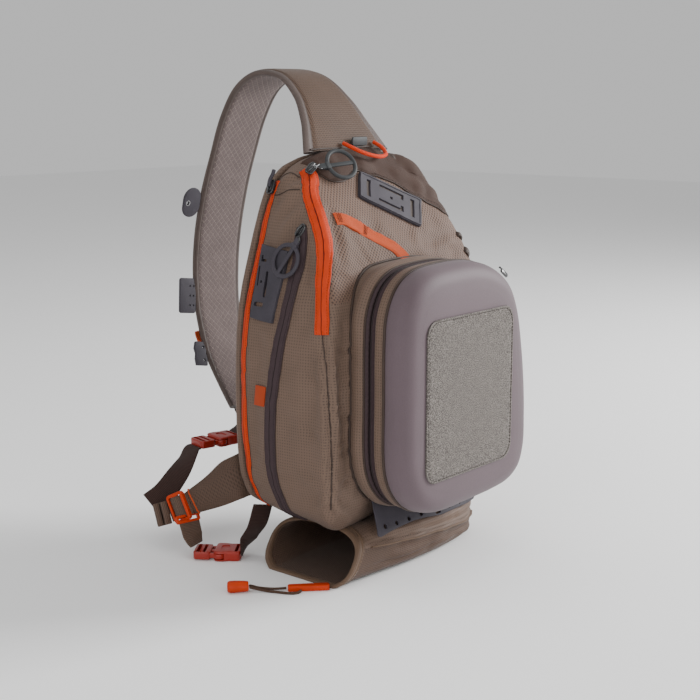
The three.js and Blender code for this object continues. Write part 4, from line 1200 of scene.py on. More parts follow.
def rounded(width, height, radius, steps=6):
    """A rectangle's outline with round corners, going round anticlockwise"""
    outline = []
    for cx, cy, start in ((1, 1, 0), (-1, 1, 90), (-1, -1, 180), (1, -1, 270)):
        for k in range(steps + 1):
            angle = math.radians(start + 90 * k / steps)
            outline.append((cx * (width / 2 - radius) + radius * math.cos(angle),
                            cy * (height / 2 - radius) + radius * math.sin(angle)))
    return outline


def add_patch():
    """The felt patch, laid on the moulded shell inside a row of stitches"""
    middle = Vector((2, 0, 188)) * MM
    shape = rounded(149, 163, 16, 10)
    shape = even(metres((x, 0, z) for x, z in shape + shape[:1]), 321)[:-1]
    rings = []
    rows = [(1.2, -1.0), (0.5, 0.4), (0.2, 1.2), (0.5, 1.7), (1.6, 1.9), (2.4, 1.4), (3.0, 1.25), (3.8, 1.6),
            (6, 1.75), (12, 1.75), (24, 1.75), (40, 1.75), (56, 1.75), (72, 1.75)]
    for inset, lift in rows:
        ring = []
        for p in shape:
            scale_x = max((74.5 - inset) / 74.5, 0.01)
            scale_z = max((81.5 - inset) / 81.5, 0.01)
            spot = middle + Vector((p.x * scale_x, 0, p.z * scale_z))
            hit = from_front(shell_tree, spot.x, spot.z, -0.3)
            ring.append(Vector((spot.x, hit.y - lift * MM, spot.z)))
        rings.append(ring)
    piece = loft("felt_patch_cloth", rings, [FELT], uv=lambda r, i: (i * 2 * MM, r * 2 * MM))
    take(piece, "felt", ["felt_patch"], 60)
    edge = rings[5] + rings[5][:1]
    normals = [FORWARD] * len(edge)
    stitches("patch_stitches", edge, normals, DARK_THREAD, "felt", 2.4, 1.0, 1.1)


add_patch()


# The bottle sleeve. Columns: share of the length, shares of the front reach, back reach and height.
SLEEVE_ROWS = [
    (0, 0.86, 0.9, 1), (0.12, 0.93, 1, 1), (0.3, 0.99, 1, 1), (0.5, 1, 1, 1), (0.68, 0.96, 1, 1),
    (0.8, 0.86, 0.95, 1), (0.9, 0.68, 0.78, 0.97), (0.96, 0.46, 0.5, 0.9), (1, 0.2, 0.15, 0.8),
]
# The folds beside the seam along the sleeve's front. Columns: rise, height above the seam, width (mm).
SLEEVE_FOLDS = [(1.2, 0, 2.0), (2.0, 13, 5), (-2.6, 6, 3.4), (-2.0, -7, 4)]
SLEEVE_SIDES = 128
SLEEVE_MOUTH = -84
SLEEVE_LENGTH = 220
SLEEVE_TOP = 52


def sleeve_shares(share):
    """The sleeve's reaches and height at a share of its length"""
    for a, b in zip(SLEEVE_ROWS, SLEEVE_ROWS[1:]):
        if share <= b[0]:
            k = (share - a[0]) / (b[0] - a[0])
            return [a[i] + (b[i] - a[i]) * k for i in (1, 2, 3)]
    return list(SLEEVE_ROWS[-1][1:])


def sleeve_seam_height(x):
    return 30 - 0.06 * x


def sleeve_ring(share, offset, extra=0.0, folds=1.0):
    """A ring of the sleeve at a share of its length, set out by an offset and along by an extra (mm)"""
    spread = [sleeve_shares(min(max(share + d, 0), 1)) for d in (-0.03, 0, 0.03)]
    front, back, height = [sum(s[i] for s in spread) / 3 for i in range(3)]
    low = -81 * front - offset
    high = 50 * back + offset
    top = SLEEVE_TOP * height + offset
    bottom = -5 - offset
    x = SLEEVE_MOUTH + share * SLEEVE_LENGTH + extra
    ring = []
    for k in range(SLEEVE_SIDES):
        angle = 2 * math.pi * k / SLEEVE_SIDES
        u = squared(math.cos(angle), 2 / 2.7)
        v = squared(math.sin(angle), 2 / 2.7)
        y = (low + high) / 2 + u * (high - low) / 2
        z = (top + bottom) / 2 + v * (top - bottom) / 2
        lean = -34 * (1 - max(z, 0) / SLEEVE_TOP) * max(1 - share / 0.12, 0)
        out = Vector((0, u * 30, v * 24)).normalized()
        wave = 0.0
        if folds and z > 3:
            seam = sleeve_seam_height(x)
            fade = min(share / 0.1, 1)
            if y < 0:
                wave -= 1.8 * math.exp(-((z - 15 - 2 * math.sin(x * 0.04)) / 2.2) ** 2) * fade
                for rise, above, width in SLEEVE_FOLDS:
                    wave += rise * math.exp(-((z - seam - above) / width) ** 2) * fade
            wave += 2.6 * noise.noise(Vector((x * 0.028, y * 0.03, z * 0.09 + 5))) * fade
            wave += 0.7 * noise.noise(Vector((x * 0.09 + 4, y * 0.06, z * 0.12))) * fade
            wave *= min((z - 3) / 6, 1) * folds
        floor = -offset if offset < 0 else 0
        ring.append(Vector((x + lean, y + out.y * wave, max(z + out.z * wave, floor))) * MM)
    return ring


def closing(ring):
    """Smaller and smaller rings that close the sleeve's far end"""
    middle = sum(ring, Vector()) / len(ring)
    return [[middle.lerp(p, s) for p in ring] for s in (0.66, 0.33, 0.05)]


def add_sleeve():
    steps = 72
    shares = [k / steps for k in range(steps + 1)]
    outer = [sleeve_ring(s, 0) for s in shares]
    inner = [sleeve_ring(s, -2.4, 0, 0.5) for s in shares if s < 0.985]
    rings = outer + closing(outer[-1]) + closing(inner[-1])[::-1] + inner[::-1]
    piece = loft("bottle_tube", rings, [SLEEVE_CLOTH, SIDE_CLOTH], closed=True)
    map_cloth(piece)
    for polygon in piece.data.polygons:
        c = polygon.center
        polygon.material_index = 1 if c.z > (30 - 60 * c.x) * MM and polygon.normal.y < 0.2 else 0
    take(piece, "body_cloth", ["bottle_sleeve"], 60)


add_sleeve()


def add_sleeve_seam():
    """The raised seam along the sleeve's front, with stitches above and below it"""
    sleeve = tree_of(bpy.data.objects["bottle_tube"])
    for name, lift, drop in (("sleeve_seam", 0.2, 0), ("above", 0, 3), ("below", 0, -3)):
        line = []
        normals = []
        for k in range(80):
            x = -82 + 190 * k / 79
            z = sleeve_seam_height(x) + drop
            start = Vector((x * MM, -0.2, z * MM))
            place, normal, _, _ = sleeve.ray_cast(start, BACKWARD)
            if place:
                line.append(place + normal * lift * MM)
                normals.append(normal)
        if drop:
            stitches(f"sleeve_stitches_{name}", line, normals, DARK_THREAD, "body_cloth", 2.2, 1.2, 0.5)
        else:
            piping(name, line, 1.3 * MM, LIGHT_BINDING, "body_cloth")
            ridge = [p + n * 0.9 * MM for p, n in zip(line, normals)]
            stitches("sleeve_ridge_stitches", ridge, normals, THREAD, "body_cloth", 2.4, 1.0, 0.7)


add_sleeve_seam()


def add_sleeve_binding():
    profile = [(3.2, 0.2), (2.9, 0.9), (-1.2, 1.2), (-1.8, 0.8), (-2.4, 1.2), (-6.5, 1.1), (-7.8, 0.6),
               (-8.4, -0.6), (-8.6, -1.4), (-8.2, -2.4), (-6, -2.9), (-3, -2.9), (-0.4, -2.6)]
    rings = [sleeve_ring(0, offset, extra, 0) for extra, offset in profile]
    for ring in rings:
        for p in ring:
            p.z = max(p.z, 0)
    piece = loft("mouth_binding", rings, [LIGHT_BINDING], closed=True,
                 uv=lambda r, i: (r * 1.0 * MM, i * 2.6 * MM))
    take(piece, "body_cloth", ["sleeve_binding"], 60)
    for name, extra in (("mouth_stitches", -5.0), ("mouth_stitches_inner", 1.2)):
        ring = [p for p in sleeve_ring(0, 1.0, extra, 0) if p.z > 2 * MM]
        start = max(range(len(ring)), key=lambda k: (ring[k] - ring[k - 1]).length)
        ring = ring[start:] + ring[:start]
        middle = sum(ring, Vector()) / len(ring)
        normals = [Vector((0, p.y - middle.y, p.z - middle.z)).normalized() for p in ring]
        stitches(name, ring, normals, DARK_THREAD, "body_cloth", 2.2, 1.4, 0.5)


add_sleeve_binding()


# Webbing, and the wing that carries it

WEBBING_WIDTH = 25

# The section of webbing, as shares of half its width and of half its thickness
WEBBING_ACROSS = [-1, -0.97, -0.9, -0.5, 0, 0.5, 0.9, 0.97, 1, 0.97, 0.9, 0.5, 0, -0.5, -0.9, -0.97]
WEBBING_OUT = [0, 0.7, 1, 1, 1, 1, 1, 0.7, 0, -0.7, -1, -1, -1, -1, -1, -0.7]


def ribbon(name, rows, width, thickness, material, slot, replaces, steps=14, wave=0.3):
    """Webbing along a path. Rows: centre and the direction across it, in millimetres."""
    path = smooth_path(metres(centre for centre, _ in rows), steps)
    sides = in_between([Vector(side) for _, side in rows], steps)
    rings = []
    for i, place in enumerate(path):
        along = heading(path, i)
        across = (sides[i] - along * sides[i].dot(along)).normalized()
        out = along.cross(across)
        ring = []
        for u, v in zip(WEBBING_ACROSS, WEBBING_OUT):
            bend = wave * MM * noise.noise(Vector((place.x * 40, place.z * 40, u * 1.2)))
            ring.append(place + across * u * width * MM / 2 + out * (v * thickness * MM / 2 + bend))
        rings.append(ring)
    reach = distances(path)
    piece = loft(name, rings, [material],
                 uv=lambda r, i: (WEBBING_ACROSS[i % 16] * width * MM / 2, reach[min(r, len(path) - 1)]))
    return take(piece, slot, replaces, 50)


for name, node, material, rows in (
    ("strap_end_strip", "strap_end_webbing", WEBBING, [
        ((-17, 178, 124), (1, 0.2, 0)), ((-24, 174, 112), (0.6, 0.8, 0)),
        ((-35.4, 170.4, 103.1), (0.22, 0.97, 0)),
    ]),
    ("strap_strip", "strap_webbing", WEBBING, [
        ((-84.8, 181.7, 95.9), (0.22, 0.97, 0)), ((-88.6, 182.6, 95.3), (0.22, 0.97, 0)),
        ((-101, 178, 87), (0.2, 1, 0.1)), ((-120, 173, 74), (0.2, 0.8, 0.55)),
        ((-142, 172, 58), (0.1, 0.6, 0.8)), ((-156, 178.5, 47.5), (0, 0.47, 0.88)),
    ]),
    ("waist_strip", "waist_webbing", LIGHT_WEBBING, [
        ((-145.5, 129.5, 36.4), (0.95, -0.2, 0)), ((-147.5, 122, 22), (0.95, -0.1, 0)),
        ((-146.5, 117.5, 12.5), (0.9, 0.3, 0)),
    ]),
    ("waist_return_strip", "waist_webbing_return", WEBBING, [
        ((-118.5, 75.3, 7), (0.805, 0.593, 0)), ((-116, 70, 22), (0.95, -0.1, 0)),
        ((-112, 61, 38), (0.95, -0.2, 0)), ((-108, 56, 60), (0.95, -0.2, 0)),
    ]),
):
    ribbon(name, rows, WEBBING_WIDTH, 1.8, material, "dark_webbing", [node])


def add_roll():
    """The webbing's spare end, folded on itself in two lobes"""
    a = Vector((-158.5, 168.5, 36.5))
    b = Vector((-150.9, 152.9, 42.4))
    along = (b - a).normalized()
    across = Vector((0, 0.45, 0.88))
    across = (across - along * across.dot(along)).normalized()
    out = along.cross(across)
    turns = [(4.6, 0.7), (3.4, -0.5), (4.6, -2.0), (6.6, 0), (4.6, 2.4), (1.0, 0), (4.4, -3.8), (8.6, -3.4),
             (12.8, -3.8), (16.6, 0), (12.8, 3.2), (10.2, 0), (12.8, -1.8), (14.4, 0.2), (12.8, 1.2)]
    rows = [(tuple(a + along * s + out * n), tuple(across)) for s, n in turns]
    ribbon("webbing_fold", rows, WEBBING_WIDTH, 1.7, LIGHT_WEBBING, "dark_webbing", ["webbing_roll"], 8, 0.1)


add_roll()

# The wing. Columns: its middle and half its width, in millimetres.
WING_ROWS = [((-108, 69.7, 94), 25.5), ((-125, 80.7, 87), 23), ((-133, 100, 73), 18.5),
             ((-141, 132, 54), 12.5)]
WING_SIDES = 40


def add_wing():
    steps = 14
    path = smooth_path(metres(centre for centre, _ in WING_ROWS), steps)
    halves = in_between([half for _, half in WING_ROWS], steps)
    rings = []
    for i, place in enumerate(path):
        along = heading(path, i)
        across = (UP - along * along.z).normalized()
        out = along.cross(across)
        ring = []
        for k in range(WING_SIDES):
            angle = 2 * math.pi * k / WING_SIDES
            u = squared(math.cos(angle), 0.4)
            v = math.sin(angle)
            if 0.84 < abs(u) < 0.93:
                v *= 0.6
            p = place + across * u * halves[i] * MM + out * v * 1.6 * MM
            ring.append(p + out * noise.noise(Vector((p.x * 30, p.y * 30, p.z * 60))) * 0.8 * MM)
        rings.append(ring)
    reach = distances(path)

    def uv(r, i):
        r = min(r, len(path) - 1)
        return halves[r] * MM * math.cos(2 * math.pi * i / WING_SIDES), reach[r]

    # The wing takes the darker sleeve cloth as painted shade, for the shadow it lies in.
    take(loft("waist_wing", rings, [SLEEVE_CLOTH], uv), "body_cloth", ["wing"], 60)
    edge = rings[-3] + rings[-3][:1]
    middle = sum(edge, Vector()) / len(edge)
    edge = [middle + (p - middle) * 1.04 for p in edge]
    take(tube("wing_edge", edge, 0.9 * MM, ORANGE_WEBBING, 8), "orange_webbing", (), 60)


add_wing()


def add_gear_webbing():
    """A strip of webbing sewn across the front, with a loop left open near its upper end"""
    rows = [(-83.4, -22, 364), (-60, -27, 355), (-45.8, -30.9, 348.4), (-25.4, -38.8, 337.8),
            (-5.8, -46.4, 325.9), (14, -52, 312)]
    places = 70
    grid = strip_grid(even(drape(rows, 16), places), 14 * MM, 9)

    def height(r, c):
        lift = 1.5 * MM if 0 < c < 8 else 0.6 * MM
        s = r / (places - 1)
        if 0.06 < s < 0.3:
            lift += 1.6 * MM * math.sin(math.pi * (s - 0.06) / 0.24) ** 0.8
        if s < 0.05 or 0.31 < s < 0.36:
            lift -= 0.35 * MM
        return lift

    piece = slab("gear_strip", grid, height, [ORANGE_WEBBING])
    take(piece, "orange_webbing", ["gear_webbing"], 50)
    normals = soft_normals(grid)
    for name, r in (("gear_tack_left", 2), ("gear_tack_middle", 23)):
        for k in range(3):
            line = [grid[r + k][c] + normals[r + k][c] * 1.55 * MM for c in range(1, 8)]
            stitches(f"{name}_{k}", line, [normals[r][4]], DARK_THREAD, "orange_webbing", 1.4, 0.3, 0.8)


add_gear_webbing()


# The cord loop at the foot of the strap
LOOP_FOOT = Vector((0, 32, 423.35))
LOOP_OFFSETS = [(-10, -3.4, 8.7), (-9, -11, 5.7), (-3, -20, 0.7), (10, -26, -3.8), (25, -27, -5.3),
                (36, -23.5, -2.8), (40, -14, 3.7), (40, -3.4, 8.7)]
loop_path = smooth_path(metres(LOOP_FOOT + Vector(row) for row in LOOP_OFFSETS), 10)
take(tube("cord_ring", loop_path, 2.1 * MM, ORANGE_CORD, 12), "orange_cord", ["cord_loop"], 60)


# Hard pieces, modelled flat in millimetres and then set in place

def prism(name, outline, low, high, material, bevel=0.0, segments=3):
    """A plate from an outline, between two heights, with bevelled edges"""
    face = tuple(range(len(outline)))
    piece = add_mesh(name, metres((x, y, low) for x, y in outline), [face], [material])
    activate(piece)
    bpy.ops.object.mode_set(mode="EDIT")
    bpy.ops.mesh.select_all(action="SELECT")
    bpy.ops.mesh.extrude_region_move(TRANSFORM_OT_translate={"value": (0, 0, (high - low) * MM)})
    bpy.ops.mesh.select_all(action="SELECT")
    bpy.ops.mesh.normals_make_consistent(inside=False)
    bpy.ops.object.mode_set(mode="OBJECT")
    if bevel:
        ease_edges(piece, bevel, segments)
    return piece


def box_outline(x0, x1, y0, y1):
    return [(x0, y0), (x1, y0), (x1, y1), (x0, y1)]


def mirrored(half):
    """An outline from its half on one side of the X axis"""
    return half + [(x, -y) for x, y in reversed(half)]


def moved(outline, x, y):
    return [(a + x, b + y) for a, b in outline]


def slot_cutter(material, width, height, radius, x=0, y=0, steps=3):
    """A cutter for a slot with round corners"""
    return prism("slot_cutter", moved(rounded(width, height, radius, steps), x, y), -9, 9, material)


def hole_cutter(material, x, y, radius, sides):
    return rod("hole_cutter", [(x, y, -9), (x, y, 9)], radius, material, sides)


def cut(piece, *cutters):
    for cutter in cutters:
        apply_modifier(piece, "BOOLEAN", operation="DIFFERENCE", object=cutter)
        bpy.data.objects.remove(cutter)
    return piece


def join(name, parts):
    activate(parts[0])
    for part in parts:
        part.select_set(True)
    bpy.ops.object.join()
    parts[0].name = name
    return parts[0]


def settle(piece, origin, along, normal):
    """Set a flat-made piece in place: its X along one direction and its Z along the normal"""
    z = Vector(normal).normalized()
    x = Vector(along)
    x = (x - z * x.dot(z)).normalized()
    y = z.cross(x)
    turn = Matrix((x, y, z)).transposed().to_4x4()
    piece.data.transform(Matrix.Translation(Vector(origin) * MM) @ turn)
    return piece


def rod(name, rows, radius, material, sides=12):
    return tube(name, smooth_path(metres(rows), 8), radius * MM, material, sides)


def add_slider(name, node, origin, along, normal):
    """A zip's slider: a tapered plate with the bridge that holds its pull"""
    shape = mirrored([(-7.5, -2.6), (-5.5, -4.2), (2, -4.6), (6.4, -3.2), (7.5, -1.6)])
    plate = prism(name, shape, -2.2, 0.9, BLACK_PAINT, 0.8)
    crown = prism(name + "_crown", rounded(9, 4.4, 1.6, 3), 0.6, 1.8, BLACK_PAINT, 0.5)
    arch = [(-6, 0, 0.4), (-5.4, 0, 2.8), (-2.5, 0, 4.1), (1.5, 0, 4.0), (4.6, 0, 2.6), (5.4, 0, 0.4)]
    bridge = rod(name + "_bridge", arch, 1.15, BLACK_PAINT)
    piece = join(name, [plate, crown, bridge])
    take(settle(piece, origin, along, normal), "black_metal", [node], 40)


def add_ring_pull(name, node, slot, material, centre, towards, normal, link):
    """A ring pull: a round ring with a rib across it, and the neck that ties it to the slider"""
    bpy.ops.mesh.primitive_torus_add(major_radius=15.7 * MM, minor_radius=2.2 * MM, major_segments=64,
                                     minor_segments=14)
    ring = bpy.context.object
    ring.data.materials.append(material)
    ring.data.transform(Matrix.Diagonal((1, 1, 0.82, 1)))
    rib = prism(name + "_rib", rounded(31.4, 4.2, 1.2, 3), -1.0, 1.0, material, 0.5)
    end = 15 + link
    neck_shape = mirrored([(13.5, -3.6), (17, -3.2), (end - 4, -3), (end, -1.8)])
    neck = prism(name + "_neck", neck_shape, -2.0, 2.0, material, 1.0)
    collar = prism(name + "_collar", moved(rounded(3.4, 7.6, 1.2, 3), 17.5, 0), -2.7, 2.7, material, 0.8)
    piece = join(name, [ring, rib, neck, collar])
    take(settle(piece, centre, towards, normal), slot, [node], 40)
    hook = rod(name + "_hook", [(end - 4, -2.1, 0.6), (end - 1, -2.2, 1.2), (end + 1.6, 0, 1.6),
                                (end - 1, 2.2, 1.2), (end - 4, 2.1, 0.6)], 0.9, BLACK_PAINT)
    take(settle(hook, centre, towards, normal), "black_metal", (), 50)


add_slider("main_slider", "main_zip_slider", (-80.7, 9.8, 410.2), (0.785, 0, 0.619), (-0.438, -0.707, 0.555))
REAR_SLIDER_SEAT = ((-98.8, 48.4, 391.0), (0.431, 0, 0.902), (-0.902, 0, 0.431))
add_slider("rear_slider", "rear_zip_slider", *REAR_SLIDER_SEAT)
add_slider("side_slider", "side_zip_slider", (-113.5, -4.6, 351.6), (0.257, -0.463, 0.848), (-0.957, 0, 0.29))
add_ring_pull("main_ring_pull", "main_zip_pull", "sage_rubber", SAGE_RUBBER, (-45.0, 1.5, 412.9),
              (-0.963, 0.254, -0.084), (-0.257, -0.789, 0.558), 13)
add_ring_pull("side_ring_pull", "side_zip_pull", "slate_rubber", RUBBER, (-125.9, 4.0, 322.8),
              (0.266, -0.463, 0.846), (-0.954, 0, 0.3), 11)
rear_pull = rod("rear_pull_strap", [(-1, 0, 3), (6, 0.5, 3.4), (12, 0, 2.6), (17, 0.5, 2)], 2.0, RUBBER)
take(settle(rear_pull, *REAR_SLIDER_SEAT), "slate_rubber", (), 60)


def add_buckle(name, node, middle, along):
    """A fastened side-release buckle: a hollow half with waisted sides, and the half with two prongs"""
    waist = mirrored([(-3, -13), (0, -15.2), (6, -15.4), (13, -13.6), (19, -13.8), (24, -13), (25, -10)])
    hollow = prism(name, waist, -5.5, 5.5, ACETAL, 1.9, 4)
    cut(hollow,
        *[prism("window", box_outline(-5, 8, y, y + 9.8), -3.4, 3.4, ACETAL, 0.6) for y in (10.2, -20)],
        slot_cutter(ACETAL, 3.4, 24, 1.2, 20.5),
        prism("dish", moved(rounded(9, 15, 4, 4), 8, 0), 4.6, 9, ACETAL, 0.4))
    base_shape = mirrored([(-25, -11), (-23, -13.6), (-9, -13.6), (-7, -12)])
    base = prism(name + "_base", base_shape, -4.2, 4.2, ACETAL, 1.4, 3)
    cut(base, slot_cutter(ACETAL, 3.6, 24, 1.2, -20.3), slot_cutter(ACETAL, 3.2, 24, 1.2, -13.6))
    prongs = []
    for side in (-1, 1):
        shape = [(-9, side * 8.4), (-9, side * 12), (-3, side * 12.4), (0.5, side * 15.6), (5, side * 15.8),
                 (8.4, side * 12.6), (8.4, side * 9.6), (0, side * 9)]
        prongs.append(prism(f"{name}_prong_{side + 1}", shape, -2.7, 2.7, ACETAL, 0.8))
    guide = prism(name + "_guide", box_outline(-8, 2, -3, 3), -2.4, 2.4, ACETAL, 0.5)
    piece = join(name, [hollow, base, *prongs, guide])
    take(settle(piece, middle, along, (0, 0, 1)), "orange_plastic", [node], 40)


add_buckle("upper_clasp", "upper_buckle", (-60, 176, 99.5), (48, -11, 0))
add_buckle("lower_clasp", "lower_buckle", (-134.5, 97, 5.5), (28, -38, 0))


def add_ladder_lock():
    """The lock for the waist webbing: a frame with two windows and a lip, and the webbing in it"""
    seat = ((-148.2, 141.4, 49.2), (0.271, -0.852, 0.448), (-0.962, -0.253, 0.101))
    outer = prism("ladder_frame", rounded(22, 32, 4, 5), -2.2, 2.2, BRIGHT_ACETAL, 0.9)
    cut(outer, *[slot_cutter(BRIGHT_ACETAL, 6.2, 25.4, 1.4, x) for x in (5.1, -5.1)])
    lip = prism("ladder_lip", moved(rounded(3.4, 30, 1.4, 3), 9.6, 0), 1.2, 3.8, BRIGHT_ACETAL, 0.9)
    piece = join("ladder_frame", [outer, lip])
    take(settle(piece, *seat), "orange_plastic", ["ladder_lock"], 40)
    spots = [(-15, -2.6), (-8.5, -1.6), (-5, 1.2), (0, 3.5), (5, 1.2), (8.5, -1.6), (13, -2.8)]
    rows = [((x, 0, z), (0, 1, 0)) for x, z in spots]
    strip = ribbon("ladder_webbing", rows, 24, 1.6, LIGHT_WEBBING, "dark_webbing", (), 6, 0.1)
    settle(strip, *seat)


add_ladder_lock()


def add_webbing_loop():
    """The lock's lower loop, which holds the waist webbing"""
    loop = prism("webbing_loop", rounded(29, 9, 2.6, 4), -1.8, 1.8, BRIGHT_ACETAL, 0.8)
    cut(loop, slot_cutter(BRIGHT_ACETAL, 23.5, 3.6, 1))
    settle(loop, (-146, 131, 38.6), (0.978, -0.206, 0), (-0.181, -0.861, 0.473))
    take(loop, "orange_plastic", (), 40)


add_webbing_loop()


def add_strap_tabs():
    """Rubber tabs on the strap's edge: one with an eyelet, one with six holes, and a clip with two"""
    eye_seat = ((-49.1, 217.5, 363.7), (0.043, 0.271, -0.962), (0.001, 0.963, 0.271))
    eye = prism("round_tab", rounded(34, 25, 12.4, 10), -1.4, 1.4, RUBBER, 0.8)
    cut(eye, hole_cutter(RUBBER, 0, 6, 1.9, 20))
    bpy.ops.mesh.primitive_torus_add(major_radius=2.7 * MM, minor_radius=0.8 * MM, location=(0, 6 * MM, 0),
                                     major_segments=28, minor_segments=8)
    rim = bpy.context.object
    bpy.ops.object.transform_apply(location=True)
    rim.data.materials.append(PALE_METAL)
    rim.data.transform(Matrix.Diagonal((1, 1, 2.2, 1)))
    settle(rim, *eye_seat)
    rim.name = "round_tab_eyelet"
    take(rim, "slate_rubber", (), 60)
    take(settle(eye, *eye_seat), "slate_rubber", ["strap_round_tab"], 40)
    lash = prism("lash_tab", rounded(40, 24, 3, 4), -1.4, 1.4, RUBBER, 0.7)
    for x in (-11, 0, 11):
        for y in (3, 8.4):
            cut(lash, hole_cutter(RUBBER, x, y, 1.3, 16))
    take(settle(lash, (-47, 230, 257.2), (0.133, 0.091, 0.987), (0.009, 0.996, -0.093)),
         "slate_rubber", ["strap_lash_tab"], 40)
    clip_seat = ((-42.3, 215.6, 191), (0.198, 0.344, 0.918), (0.02, 0.935, -0.354))
    clip_shape = mirrored([(-14, -8), (-6, -8.6), (0, -7.2), (6, -8.6), (14, -6)])
    clip = prism("clip_tab", clip_shape, -1.7, 1.7, RUBBER, 0.6)
    cut(clip, *[hole_cutter(RUBBER, x, 4, 1.7, 16) for x in (-7.5, 7.5)])
    take(settle(clip, *clip_seat), "slate_rubber", ["strap_clip"], 40)
    rows = [(spot, (0, 1, 0)) for spot in ((13, 3.5, 0.6), (18, 3.5, 2.4), (24, 2.5, 2.8), (27, 1.5, 1))]
    strip = ribbon("clip_webbing", rows, 9, 1.6, ORANGE_WEBBING, "orange_webbing", (), 6, 0.1)
    settle(strip, *clip_seat)


add_strap_tabs()


def small_tab(name, start, end, width):
    """A short folded tab of binding sewn on the cloth"""
    grid = strip_grid(even(drape([start, end], 8), 12), width * MM, 7)

    def arch(r, c):
        return (0.4 + 2.6 * math.sin(math.pi * r / 11) ** 0.5) * MM * (1 if 0 < c < 6 else 0.6)

    take(slab(name, grid, arch, [BINDING]), "dark_tape", (), 50)


small_tab("shoulder_tab_top", (58, 22, 420), (68, 18, 414), 7)
small_tab("shoulder_tab_middle", (103, 10, 388), (112, 8, 378), 7)
small_tab("shoulder_tab_low", (104, -38, 336), (110, -38, 328), 6)
small_tab("shoulder_tab_last", (108, -44, 318), (112, -44, 308), 8)


# The rubber lash plate under the yoke: a raised rim, slots with turned ends and a dot.
# Columns: from and to along the plate, from and to across it, in shares.
LASH_SLOTS = [(0.12, 0.18, 0.2, 0.82), (0.82, 0.885, 0.18, 0.8), (0.31, 0.7, 0.18, 0.26),
              (0.31, 0.7, 0.71, 0.79), (0.66, 0.7, 0.18, 0.36), (0.66, 0.7, 0.61, 0.79),
              (0.49, 0.525, 0.45, 0.53)]
LASH_CORNERS = [(-10.8, 0, 403.162), (-32.4, 0, 378.852), (41.85, 0, 344.07), (63.45, 0, 370.998)]


def add_top_lash():
    rows = 150
    columns = 76
    corners = metres(LASH_CORNERS)
    grid = []
    for r in range(rows):
        s = 2 * r / (rows - 1) - 1
        line = []
        for c in range(columns):
            t = 2 * c / (columns - 1) - 1
            u = (s * (1 - 0.02 * abs(t) ** 9) + 1) / 2
            v = (t * (1 - 0.05 * abs(s) ** 16) + 1) / 2
            p = corners[0].lerp(corners[3], u).lerp(corners[1].lerp(corners[2], u), v)
            line.append(front_skin(p.x, p.z))
        grid.append(line)
    for _ in range(4):
        grid = [grid[0]] + [
            [(a[c] + 2 * b[c] + d[c]) / 4 for c in range(columns)]
            for a, b, d in zip(grid, grid[1:], grid[2:])
        ] + [grid[-1]]
    normals = soft_normals(grid)

    def inside(r, c):
        u = r / (rows - 1)
        v = c / (columns - 1)
        return any(a <= u <= b and low <= v <= high for a, b, low, high in LASH_SLOTS)

    def height(r, c):
        rim = min(r, rows - 1 - r, c * 0.9, (columns - 1 - c) * 0.9)
        if inside(r, c):
            return 1.6 * MM
        if rim < 1:
            return 2.6 * MM
        if rim < 5:
            return 3.9 * MM
        return 3.2 * MM

    def material_at(r, i):
        return 1 if i < columns - 1 and inside(r, i) and inside(r + 1, i + 1) else 0

    piece = slab("lash_plate", grid, height, [RUBBER, BINDING], 0.2 * MM, material_at, normals)
    take(piece, "slate_rubber", ["top_lash_plate"], 40)


add_top_lash()


def add_toggle():
    """The pull's end: a moulded stub with chamfered ends, dished where the cord goes in"""
    start = Vector((-185, 3, 6))
    way = Vector((-0.733, 0.68, 0)).normalized()
    side = way.cross(UP)
    profile = [(1.6, 1.4), (1.2, 2.6), (0.1, 3.2), (0, 4.2), (0.6, 4.9), (2.4, 5.2), (5, 5.5),
               (9, 5.8), (14, 6), (18.4, 5.9), (20.2, 5.2), (21, 4.0), (21.1, 2.0)]
    rings = []
    for x, radius in profile:
        ring = []
        for k in range(32):
            angle = 2 * math.pi * k / 32
            square = 1 + 0.05 * math.cos(4 * angle)
            ring.append((start + way * x + side * radius * square * math.cos(angle)
                         + UP * radius * math.sin(angle)) * MM)
        rings.append(ring)
    return take(loft("toggle_stub", rings, [BRIGHT_ACETAL]), "orange_plastic", ["pull_toggle"], 40)


# Hard pieces that start as their solids, with their edges eased

def eased(node, name, material, slot, width):
    mesh = nodes[node].data.copy()
    mesh.name = name
    piece = bpy.data.objects.new(name, mesh)
    bpy.context.scene.collection.objects.link(piece)
    mesh.materials.clear()
    mesh.materials.append(material)
    outward(piece)
    apply_modifier(piece, "DECIMATE", decimate_type="DISSOLVE", angle_limit=math.radians(2))
    ease_edges(piece, width, 2)
    take(piece, slot, [node], 40)


for node, name, material, slot, width in (
    ("pocket_zip_pull", "pocket_pull", BLACK_PAINT, "black_metal", 0.8),
    ("cord_loop_tab", "loop_tab", SAGE_RUBBER, "sage_rubber", 0.4),
    ("side_web_tab", "web_tab", ORANGE_WEBBING, "orange_webbing", 0.4),
    ("sleeve_zip_end", "zip_end_cap", BRIGHT_ACETAL, "orange_plastic", 1.0),
):
    eased(node, name, material, slot, width)


